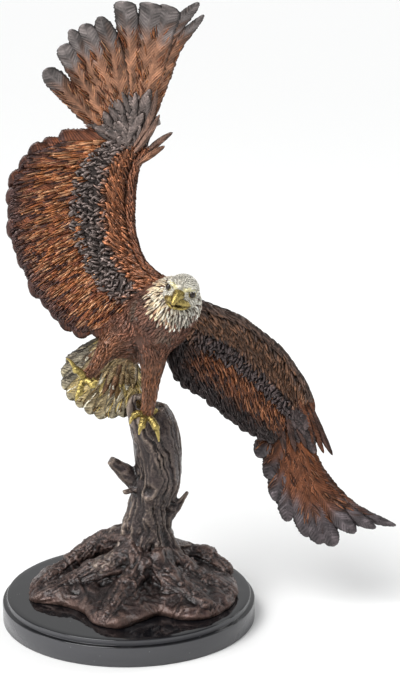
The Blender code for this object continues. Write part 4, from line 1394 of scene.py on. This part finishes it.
def shoulder_dark(plan, place):
    """How dark the secondaries are near the shoulder, which on the drooping wing lies in shade."""
    return plan["dark_shoulder"] * (1 - float(step_up(place, 0.06, 0.30)))


def tooled(flock, plan, vanes, lines, side, count, chance):
    """Slanting strokes over the secondaries, raised as a modelling tool leaves them in wax."""
    out = TO_VIEWER * side
    depth = out * 0.03
    outward_way, aside_way = plan["stroke_way"]
    feather_tip = Vector(linear(plan["secondary"][2]))

    def touch(place, reach):
        """A place along the wing and across it, and where the secondaries' faces are before it."""
        low = min(max(int(place * (len(lines) - 1)), 0), len(lines) - 2)
        share = place * (len(lines) - 1) - low
        _, bone, tip, _ = (a.lerp(b, share) for a, b in zip(lines[low], lines[low + 1]))
        spot = bone.lerp(tip, reach)
        return spot, vanes.ray_cast(spot + depth, -depth, 0.06)[0]

    for _ in range(count):
        place = 1.05 * chance.random() - 0.02
        reach = 0.32 + (plan["stroke_end"] - 0.32) * chance.random() ** 0.9
        spot, root = touch(place, reach)
        away, _ = touch(place, reach + 0.1)
        along_wing, _ = touch(place + 0.02, reach)
        length = TOOL_STROKE * (0.45 + 1.1 * chance.random() ** 1.5)
        outward = 0.1 * length * outward_way / (away - spot).length
        aside = 0.02 * length * aside_way * (0.6 + 0.8 * chance.random()) / (along_wing - spot).length
        _, middle = touch(place + aside / 2, min(0.97, reach + outward / 2))
        _, tip = touch(place + aside, min(0.97, reach + outward))
        if not (root and middle and tip):
            continue
        bend = middle * 2 - (root + tip) / 2 + out * 0.0014
        off_crest = abs((place * (plan["secondaries"] - 1)) % 1 - 0.5)
        kind = min(1.0, chance.random() * (0.55 + 0.7 * reach) * (0.4 + 2.2 * off_crest))
        colour = Vector(linear(plan["strokes"][int(kind * (len(plan["strokes"]) - 0.01))]))
        dark_from = plan["secondary_dark_from"]
        dark = max(float(step_up(reach, dark_from - 0.12, dark_from + 0.10)), shoulder_dark(plan, place))
        colour = (colour * 1.2).lerp(feather_tip * (0.7 + 0.7 * chance.random()), dark)
        look = {"thickness": TOOL_THICKNESS, "tint": 0.5}
        look |= {"root": colour * 0.6, "middle": colour, "tip": colour * 1.1}
        line = (root - out * 0.0002, bend, tip - out * 0.0002)
        sliver(flock, line, out, TOOL_WIDTH * (0.5 + 0.9 * chance.random()), look)


def make_wing(plan, name):
    """Builds one wing as two pieces: its arm, secondaries, primaries and alula, and its small coverts."""
    flock = new_flock()
    lines = wing_lines(plan, WING_STATIONS)
    chance = np.random.default_rng(5)
    edge_tree = kdtree.KDTree(len(lines))
    for i, row in enumerate(lines):
        edge_tree.insert(row[0], i)
    edge_tree.balance()

    def skin_colour(place):
        """The arm's patina at that place, darker than the coverts over it."""
        _, i, distance = edge_tree.find(place)
        chord = distance / (lines[i][2] - lines[i][0]).length
        return arm_colour(plan, chord, i / len(lines)) * 0.5

    add_skin(flock, arm_skin(lines), skin_colour, 0.0005)
    look = long_look | shades(plan["secondary"]) | {
        "round_from": plan["secondary_round"], "tip_from": plan["secondary_dark_from"], "ripple": 0.0008,
        "neck": 0.8, "camber": 0.16,
    }
    count = plan["secondaries"]
    end_colour = Vector(linear(plan["secondary"][2]))
    bones = along(places(plan["bone"]), round((count - 1) / (1 - plan["secondary_slant"])) + 1)[-count:]
    for i, (root, (_, _, tip, _)) in enumerate(zip(bones, wing_lines(plan, count))):
        dark = shoulder_dark(plan, i / (count - 1))
        for part, tone in (("root", 0), ("middle", 1)):
            look[part] = Vector(linear(plan["secondary"][tone])).lerp(end_colour, dark)
        width = size(plan["secondary_width"]) * (0.9 + 0.25 * chance.random())
        tip = tip + (tip - root) * 0.05 * (chance.random() - 0.5)
        bend = root.lerp(tip, 0.55) - TO_VIEWER * (0.003 + 0.002 * chance.random())
        line = (root, bend, tip)
        blade(flock, line, TO_VIEWER, width, look, SECONDARY_TWIST * (0.7 + 0.6 * chance.random()))
    coverts = new_flock()
    vanes = BVHTree.FromPolygons(np.concatenate(flock["points"]).tolist(), flock["faces"])
    for side, share in ((1, 1.0), (-1, 0.4)):
        tooled(coverts, plan, vanes, lines, side, round(plan["secondary_strokes"] * share), chance)
    arm_length = sum((a[1] - b[1]).length for a, b in zip(lines, lines[1:]))
    chord_length = sum((row[2] - row[0]).length for row in lines) / len(lines)
    for side in (1, -1):
        for chord in EDGE_ROWS:
            count = round(arm_length / EDGE_GAP)
            lay_coverts(coverts, plan, lines, side, (chord, EDGE_LENGTH), count, EDGE_COVERTS, chance)
        chord = plan["edge_to"] + 0.015
        while chord < plan["band_to"]:
            kind = BAND_COVERTS if chord > plan["band_from"] else LESSER_COVERTS
            row = (chord, kind["length"] / chord_length)
            count = round(arm_length / (kind["width"] * (0.66 if side > 0 else 0.9)))
            lay_coverts(coverts, plan, lines, side, row, count, kind, chance)
            chord += kind["step"] / chord_length
    add_hand(flock, plan, chance)
    bronze_piece(name, *gathered(flock), feather_patina)
    bronze_piece(name + "_coverts", *gathered(coverts), feather_patina)


def add_hand(flock, plan, chance):
    """The primaries, fanned from the hand, with four rows of coverts over their roots and the alula."""
    wrist = at(*plan["bone"][-1])
    knuckles = places(plan["hand"])
    ends = places(plan["primary_tips"])
    for i, (knuckle, tip) in enumerate(zip(along(knuckles, len(ends)), ends)):
        look = long_look | shades(plan["primary"]) | {
            "tip_from": plan["primary_dark_from"], "round_from": plan["primary_round"][i], "ragged": 0.16,
        }
        root = knuckle.lerp(wrist, 0.5)
        inward = (tip - root).cross(TO_VIEWER).normalized()
        if inward.dot(ends[0] - tip) < 0:
            inward = -inward
        bend = root.lerp(tip, 0.5) + inward * size(plan["curl"]) * (i / (len(ends) - 1)) ** 2
        width = size(plan["primary_widths"][i])
        line = (root, bend, tip)
        blade(flock, line, TO_VIEWER, width, look, FEATHER_TWIST, hook=plan["primary_hooks"][i])
        for face, tufts in ((TO_VIEWER, plan["primary_strokes"]), (-TO_VIEWER, 8)):
            strokes = (tufts, TUFT_LEAN, TUFT_LENGTH, TUFT_WIDTH, TUFT_SPAN)
            laid_over(flock, line, face, width, look, strokes, plan["strokes"][:4], chance)
    solid = bmesh.new()
    tube(solid, [wrist, *knuckles], sizes(HAND_RADII), 20, 40)
    band = Vector(linear(plan["band"]))
    add_skin(flock, mesh_of(solid, "hand"), lambda place: band * 0.7, 0.001)
    for reach, count, width, lift in HAND_COVERTS:
        for end in along(places(plan["hand_coverts"]), count):
            for side in (1, -1):
                raised = TO_VIEWER * side * size(lift)
                tip = wrist.lerp(end, reach * (0.72 + 0.42 * chance.random())) + raised * 0.8
                shift = Vector((2 * chance.random() - 1.1, 0, chance.random() - 0.5))
                start = wrist + raised * 0.4 + shift * size(2.6)
                look = long_look | {
                    "barb": 0.0046, "round_from": 0.62, "ripple": 0.0008, "thickness": 0.0018, "tint": 0.6,
                    "root": band * 0.55, "middle": band * (0.7 + 0.4 * chance.random()), "tip": band * 1.3,
                    "margin": 0.6, "ragged": 0.2,
                }
                bend = start.lerp(tip, 0.5) + raised * 0.3
                twist = FEATHER_TWIST + 0.9 * (chance.random() - 0.5)
                broad = size(width) * (0.8 + 0.5 * chance.random())
                blade(flock, (start, bend, tip), TO_VIEWER * side, broad, look, twist, columns=FEW_COLUMNS)
    rust = Vector(linear(plan["primary"][1]))
    for number, line in enumerate(plan["alula"]):
        shade = rust * 0.8 if number % 3 == 1 else band.lerp(rust, 0.45) * 0.85
        look = long_look | {"barb": 0.0040, "round_from": 0.4}
        look |= {"root": shade, "middle": shade, "tip": shade * 0.75}
        blade(flock, places(line), TO_VIEWER, size(plan["alula_width"]), look)


make_wing(RIGHT_WING, "raised_right_wing")
make_wing(LEFT_WING, "drooping_left_wing")

# Head and neck
# A bald eagle's head with heavy brows and a hooked beak, its mouth a little open. It is silvered, streaked
# by fine hackles that run down over the neck, and the beak and the rims of the eyes are gilt.
HEAD_FACING = Vector((-0.20, -0.97, 0.06)).normalized()
HEAD_ROLL = math.radians(16)
HEAD_VOXEL = 0.0008
SKULL = (((0, -3, 0), (16.5, 19, 16.0)), ((0, 6, -4), (13.0, 12, 11.5)), ((0, 5, 4), (10.5, 13, 9.5)))
BROW = ((4.5, 15.2, 5.0), (9.0, 13.6, 6.6), (13.0, 8.5, 6.6), (14.6, 2, 5.2))
BROW_RADII = (0.0016, 0.0024, 0.0024, 0.0016)
EYE_PLACE = (12.2, 10.2, 2.0)
FACE_GAP = 0.0017
FACE_LENGTH = 0.0032
FACE_WIDTH = 0.0021
HACKLE_GAP = 0.0023
HACKLE_LENGTH = 0.010
HACKLE_WIDTH = 0.0030
SILVER = "#f5f0e2"
SILVER_DARK = "#beb8a8"
BROW_GOLD = "#d8cfa0"
NECK_GOLD = "#d9b27a"

head_up = (UP - HEAD_FACING * UP.dot(HEAD_FACING)).normalized()
head_right = head_up.cross(HEAD_FACING).normalized()
head_up, head_right = (
    head_up * math.cos(HEAD_ROLL) + head_right * math.sin(HEAD_ROLL),
    head_right * math.cos(HEAD_ROLL) - head_up * math.sin(HEAD_ROLL),
)


def in_head(right, front, up):
    """A point of the head, in millimetres from its middle to the viewer's right, forward and up."""
    return head_middle + (head_right * right + HEAD_FACING * front + head_up * up) / 1000


def ball(solid, right, front, up, radii):
    """An egg-shaped lump in the head's frame, in millimetres."""
    verts = bmesh.ops.create_uvsphere(solid, u_segments=28, v_segments=18, radius=1)["verts"]
    for vert in verts:
        x, y, z = vert.co
        vert.co = in_head(right + x * radii[0], front + y * radii[1], up + z * radii[2])


def head_line(rows, side=1):
    """The points of the head that the rows give, mirrored where side is -1."""
    return [in_head(side * right, front, up) for right, front, up in rows]


solid = bmesh.new()
for place, radii in SKULL:
    ball(solid, *place, radii)
for side in (-1, 1):
    tube(solid, head_line(BROW, side), BROW_RADII, 14, 20)
    ball(solid, side * 9.5, 1, -6, (8, 11, 9))
head_mesh = fused(solid, HEAD_VOXEL, 4)
head_flock = new_flock()
silver = Vector(linear(SILVER))
silver_dark = Vector(linear(SILVER_DARK))
neck_gold = Vector(linear(NECK_GOLD))
brows = [spot for side in (-1, 1) for spot in along(head_line(BROW, side), 16)]


def face_colour(place):
    """Silver, with pale gold along the brows and shade under them."""
    nearest = min(brows, key=lambda spot: (spot - place).length)
    gilded = 1 - float(step_up((nearest - place).length, 0.0016, 0.0034))
    return (silver_dark * 0.8).lerp(Vector(linear(BROW_GOLD)), gilded)


add_skin(head_flock, head_mesh, face_colour, 0.0005)
head_tree = skin_tree(head_mesh)
eyes = [head_line([EYE_PLACE], side)[0] for side in (-1, 1)]


def feathered_face(place):
    """Whether hackles grow there: not round the eyes nor where the beak starts."""
    before = (place - head_middle).dot(HEAD_FACING)
    off_brow = min((place - spot).length for spot in brows)
    return before < 0.016 and off_brow > 0.0022 and min((place - eye).length for eye in eyes) > 0.0050


for place, normal in scattered(head_mesh, FACE_GAP, feathered_face):
    way = -HEAD_FACING * 0.9 - head_up * 0.5 + (place - head_middle).normalized() * 0.2
    look = small_look(silver.lerp(silver_dark, 0.6 * chance.random()))
    look["root"] = look["root"] * 1.8
    stroke(head_flock, head_tree, place, normal, way, FACE_LENGTH, FACE_WIDTH, look, 0.00018)
neck = scattered(body_mesh, HACKLE_GAP, lambda place: (place - head_middle).length < NECK_LENGTH)
for place, normal in sorted(neck, key=lambda row: -(row[0] - head_middle).length):
    far = (place - head_middle).length / NECK_LENGTH
    way = (place - head_middle).normalized() + UP * -0.35
    aside = way.cross(normal) * (chance.random() - 0.5) * 0.5
    # On the neck's left the hackles turn gold and are made up to a third brighter: that brightening is a
    # painted highlight on the side the main light comes from.
    gold = max(0.0, min(1.0, (head_middle.x - 0.002 - place.x) / 0.016)) * chance.random() ** 0.6
    shade = silver.lerp(silver_dark, 0.85 * chance.random()).lerp(neck_gold, gold * 0.7) * (1 + 0.35 * gold)
    brown = float(step_up(far + 0.45 * (chance.random() - 0.5), 0.80, 1.05))
    shade = shade.lerp(Vector(linear(BREAST_COLOUR)), brown)
    look = small_look(shade) | {"root": shade * 0.5, "tip": shade * 1.3}
    length = HACKLE_LENGTH * (0.6 + 0.6 * chance.random())
    stroke(head_flock, body_tree, place, normal, way + aside, length, HACKLE_WIDTH, look, 0.0013)
# The head's silvering is pale and soft, more like worn enamel than metal, so it stands out from the brown.
silvered_feathers = bronze_finish(
    "silvered_feathers_on_bronze",
    metallic=0.25, roughness=0.34, mottle=0.006, grain=0.0016, grain_depth=0.0003, shade=(0.45, 1.3), wax=0.2,
)
bronze_piece("head_and_hackles", *gathered(head_flock), silvered_feathers)

# Beak
# The heavy hooked beak with its broad gape and open mouth, cast in one with the head and gilt. The dark of
# the open mouth and the nostrils is painted shade on the gilt.
BEAK_RIDGE = (
    (0, 9, -2.4), (0, 16, -1.6), (-0.3, 22, -3.6), (-0.8, 26, -8.0), (-1.2, 26.6, -12.0), (-1.4, 25.6, -15.4),
)
BEAK_RADII = (0.0080, 0.0070, 0.0054, 0.0035, 0.0020, 0.0006)
GAPE = ((13.6, 6.5, -10.4), (10.2, 12.5, -9.0), (5.5, 18.5, -7.6), (1.5, 23, -7.8))
GAPE_RADII = (0.0014, 0.0034, 0.0038, 0.0026)
JAW = ((12.6, 6.2, -12.2), (8.2, 12.6, -14.0), (2.6, 18.0, -14.8))
JAW_RADII = (0.0012, 0.0020, 0.0017)
CHIN = ((0, 7, -12.4), (0, 14, -14.2), (0, 19.4, -14.9))
CHIN_RADII = (0.0062, 0.0044, 0.0016)
BEAK_VOXEL = 0.0006
NOSTRIL = (4.8, 17.5, 0.2)
NOSTRIL_EDGE = (0.0010, 0.0022)
GILT = "#a18f55"
PAINTED_MOUTH_SHADE = "#33241a"
MOUTH_HALF = 6.5
MOUTH_HEIGHT = -11.4
MOUTH_OPEN = 1.3

# Old gilding shines yellow on the ridges and keeps a brown, greasy shade in its pits.
gilt_bronze = bronze_finish(
    "gilt_bronze",
    metallic=0.9, roughness=0.27, mottle=0.004, grain=0.0008, grain_depth=0.0004, shade=(0.25, 1.5), wax=0.0,
)
solid = bmesh.new()
tube(solid, head_line(BEAK_RIDGE), BEAK_RADII, 28, 44)
for side in (-1, 1):
    tube(solid, head_line(GAPE, side), GAPE_RADII, 16, 24)
    tube(solid, head_line(JAW, side), JAW_RADII, 14, 20)
tube(solid, head_line(CHIN), CHIN_RADII, 20, 20)
beak_mesh = fused(solid, BEAK_VOXEL, 3)
beak_relief = relief_of(beak_mesh, 6) / 0.0004
beak_points, _ = points_of(beak_mesh)
beak_patina = np.tile(linear(GILT), (len(beak_points), 1))
# The open mouth is painted shade: a dark band along the gape, between the upper beak and the jaw.
off = beak_points - np.array(head_middle)
across = np.abs(off @ np.array(head_right)) * 1000 / MOUTH_HALF
above = np.abs(off @ np.array(head_up) * 1000 - MOUTH_HEIGHT) / MOUTH_OPEN
outside_mouth_shade = step_up(np.maximum(across, above), 0.75, 1.15)[:, None]
beak_patina = beak_patina * outside_mouth_shade + np.array(linear(PAINTED_MOUTH_SHADE)) * (1 - outside_mouth_shade)
# Each nostril is painted shade: the gilt darkens to a small dark spot round it.
nostrils = [head_line([NOSTRIL], side)[0] for side in (-1, 1)]
near_nostril = np.array([min((Vector(p) - spot).length for spot in nostrils) for p in beak_points])
beak_patina *= step_up(near_nostril, *NOSTRIL_EDGE)[:, None] * 0.85 + 0.15
bronze_piece("beak", beak_mesh, beak_patina, beak_relief, gilt_bronze)

# Eyes
# Two smooth balls set under the brows, each in a thin gilt rim. They are lacquered dark, so they shine.
EYE = "#0d0a08"
EYE_BROWN = "#2a1a0e"
EYE_CLOUDS = 900.0
EYE_RADIUS = 0.0036
LACQUER_ROUGHNESS = 0.22
RIM_HALVES = (3.7, 3.1)
RIM_RADIUS = 0.0005
RIM_STEPS = 24

# Dark lacquer gives each eye one small clear highlight.
lacquered_eye = bpy.data.materials.new("dark_lacquer_on_bronze")
lacquered_eye.use_nodes = True
lacquer = lacquered_eye.node_tree.nodes["Principled BSDF"]
lacquer.inputs["Roughness"].default_value = LACQUER_ROUGHNESS
eye_spot = add_node(lacquered_eye, "TexCoord", {})
eye_cloud = add_node(
    lacquered_eye,
    "TexNoise",
    {"Scale": EYE_CLOUDS},
    [("Vector", eye_spot.outputs["Object"])],
)
eye_colour = add_node(
    lacquered_eye,
    "Mix",
    {"data_type": "RGBA", 6: (*linear(EYE), 1), 7: (*linear(EYE_BROWN), 1)},
    [(0, eye_cloud.outputs[0])],
)
lacquered_eye.node_tree.links.new(eye_colour.outputs[2], lacquer.inputs["Base Color"])
solid = bmesh.new()
for side in (-1, 1):
    ball(solid, side * EYE_PLACE[0], *EYE_PLACE[1:], [EYE_RADIUS * 1000] * 3)
cast_piece("eyes", mesh_of(solid, "eyes"), lacquered_eye)

solid = bmesh.new()
for side in (-1, 1):
    middle = Vector((side * EYE_PLACE[0], EYE_PLACE[1], EYE_PLACE[2]))
    out = Vector((side * 0.60, 0.80, 0.0))
    aside = UP.cross(out).normalized()
    ring = []
    for step in range(RIM_STEPS + 1):
        a = math.tau * step / RIM_STEPS
        round_eye = aside * math.cos(a) * RIM_HALVES[0] + UP * math.sin(a) * RIM_HALVES[1]
        ring.append(in_head(*(middle + out * 0.9 + round_eye)))
    tube(solid, ring, [RIM_RADIUS, RIM_RADIUS], 10, 3 * RIM_STEPS + 1)
rim_mesh = mesh_of(solid, "rims")
rim_patina = np.tile(linear(GILT), (len(rim_mesh.vertices), 1))
bronze_piece("eye_rims", rim_mesh, rim_patina, np.zeros(len(rim_patina)), gilt_bronze)

# Feet
# Scaled toes with hooked claws, gilt. One foot grips the stump and the other is thrown forward, open.
STANDING_TOES = (
    ((3.0, -2.9, 32.3), (1.4, -3.6, 32.6), (0.5, -4.3, 31.2)),
    ((3.1, -3.2, 32.2), (2.6, -5.2, 31.3), (2.1, -5.9, 29.9)),
    ((3.4, -3.1, 32.1), (4.9, -4.8, 30.9), (5.4, -5.0, 28.4)),
    ((3.4, -2.2, 32.0), (4.6, -0.4, 32.2), (5.0, 0.8, 31.4)),
)
RAISED_TOES = (
    ((-6.5, -8.8, 40.3), (-7.8, -9.7, 42.2), (-9.3, -10.0, 44.2)),
    ((-6.6, -9.0, 40.0), (-5.2, -10.0, 39.7), (-4.2, -10.6, 40.4)),
    ((-6.8, -9.0, 40.0), (-7.3, -9.8, 38.3), (-7.9, -10.4, 37.1)),
    ((-6.3, -8.4, 40.4), (-5.2, -7.8, 39.8), (-4.6, -7.6, 38.8)),
)
TOE_RADIUS = 0.0036
TOE_ARCH = 0.0022
SCUTE_SPACING = 0.0030
FOOT_VOXEL = 0.0006


def foot_shapes(solid, toes):
    """Four toes, each a row of plump scales, and the claw that hooks from its end."""
    for toe in toes:
        root, knuckle, point = places(toe)
        length = (knuckle - root).length
        count = max(12, round(length / 0.0005))
        steps = [length * i / count / SCUTE_SPACING for i in range(count)]
        radii = [TOE_RADIUS * (0.98 + 0.14 * abs(math.sin(math.pi * step))) for step in steps]
        arch = UP * TOE_ARCH
        tube(solid, [root, root.lerp(knuckle, 0.55) + arch, knuckle], radii, 18, count)
        claw = [TOE_RADIUS * 0.8, TOE_RADIUS * 0.58, TOE_RADIUS * 0.2]
        tube(solid, [knuckle, knuckle.lerp(point, 0.55) + arch, point], claw, 14, 18)
        knob = bmesh.ops.create_uvsphere(solid, u_segments=16, v_segments=10, radius=TOE_RADIUS * 1.15)
        bmesh.ops.translate(solid, verts=knob["verts"], vec=knuckle)


for name, toes in (("standing_foot", STANDING_TOES), ("raised_foot", RAISED_TOES)):
    solid = bmesh.new()
    foot_shapes(solid, toes)
    foot_mesh = fused(solid, FOOT_VOXEL, 2)
    foot_relief = relief_of(foot_mesh, 6) / 0.0003
    foot_patina = np.tile(linear(GILT), (len(foot_mesh.vertices), 1))
    bronze_piece(name, foot_mesh, foot_patina, foot_relief, gilt_bronze)
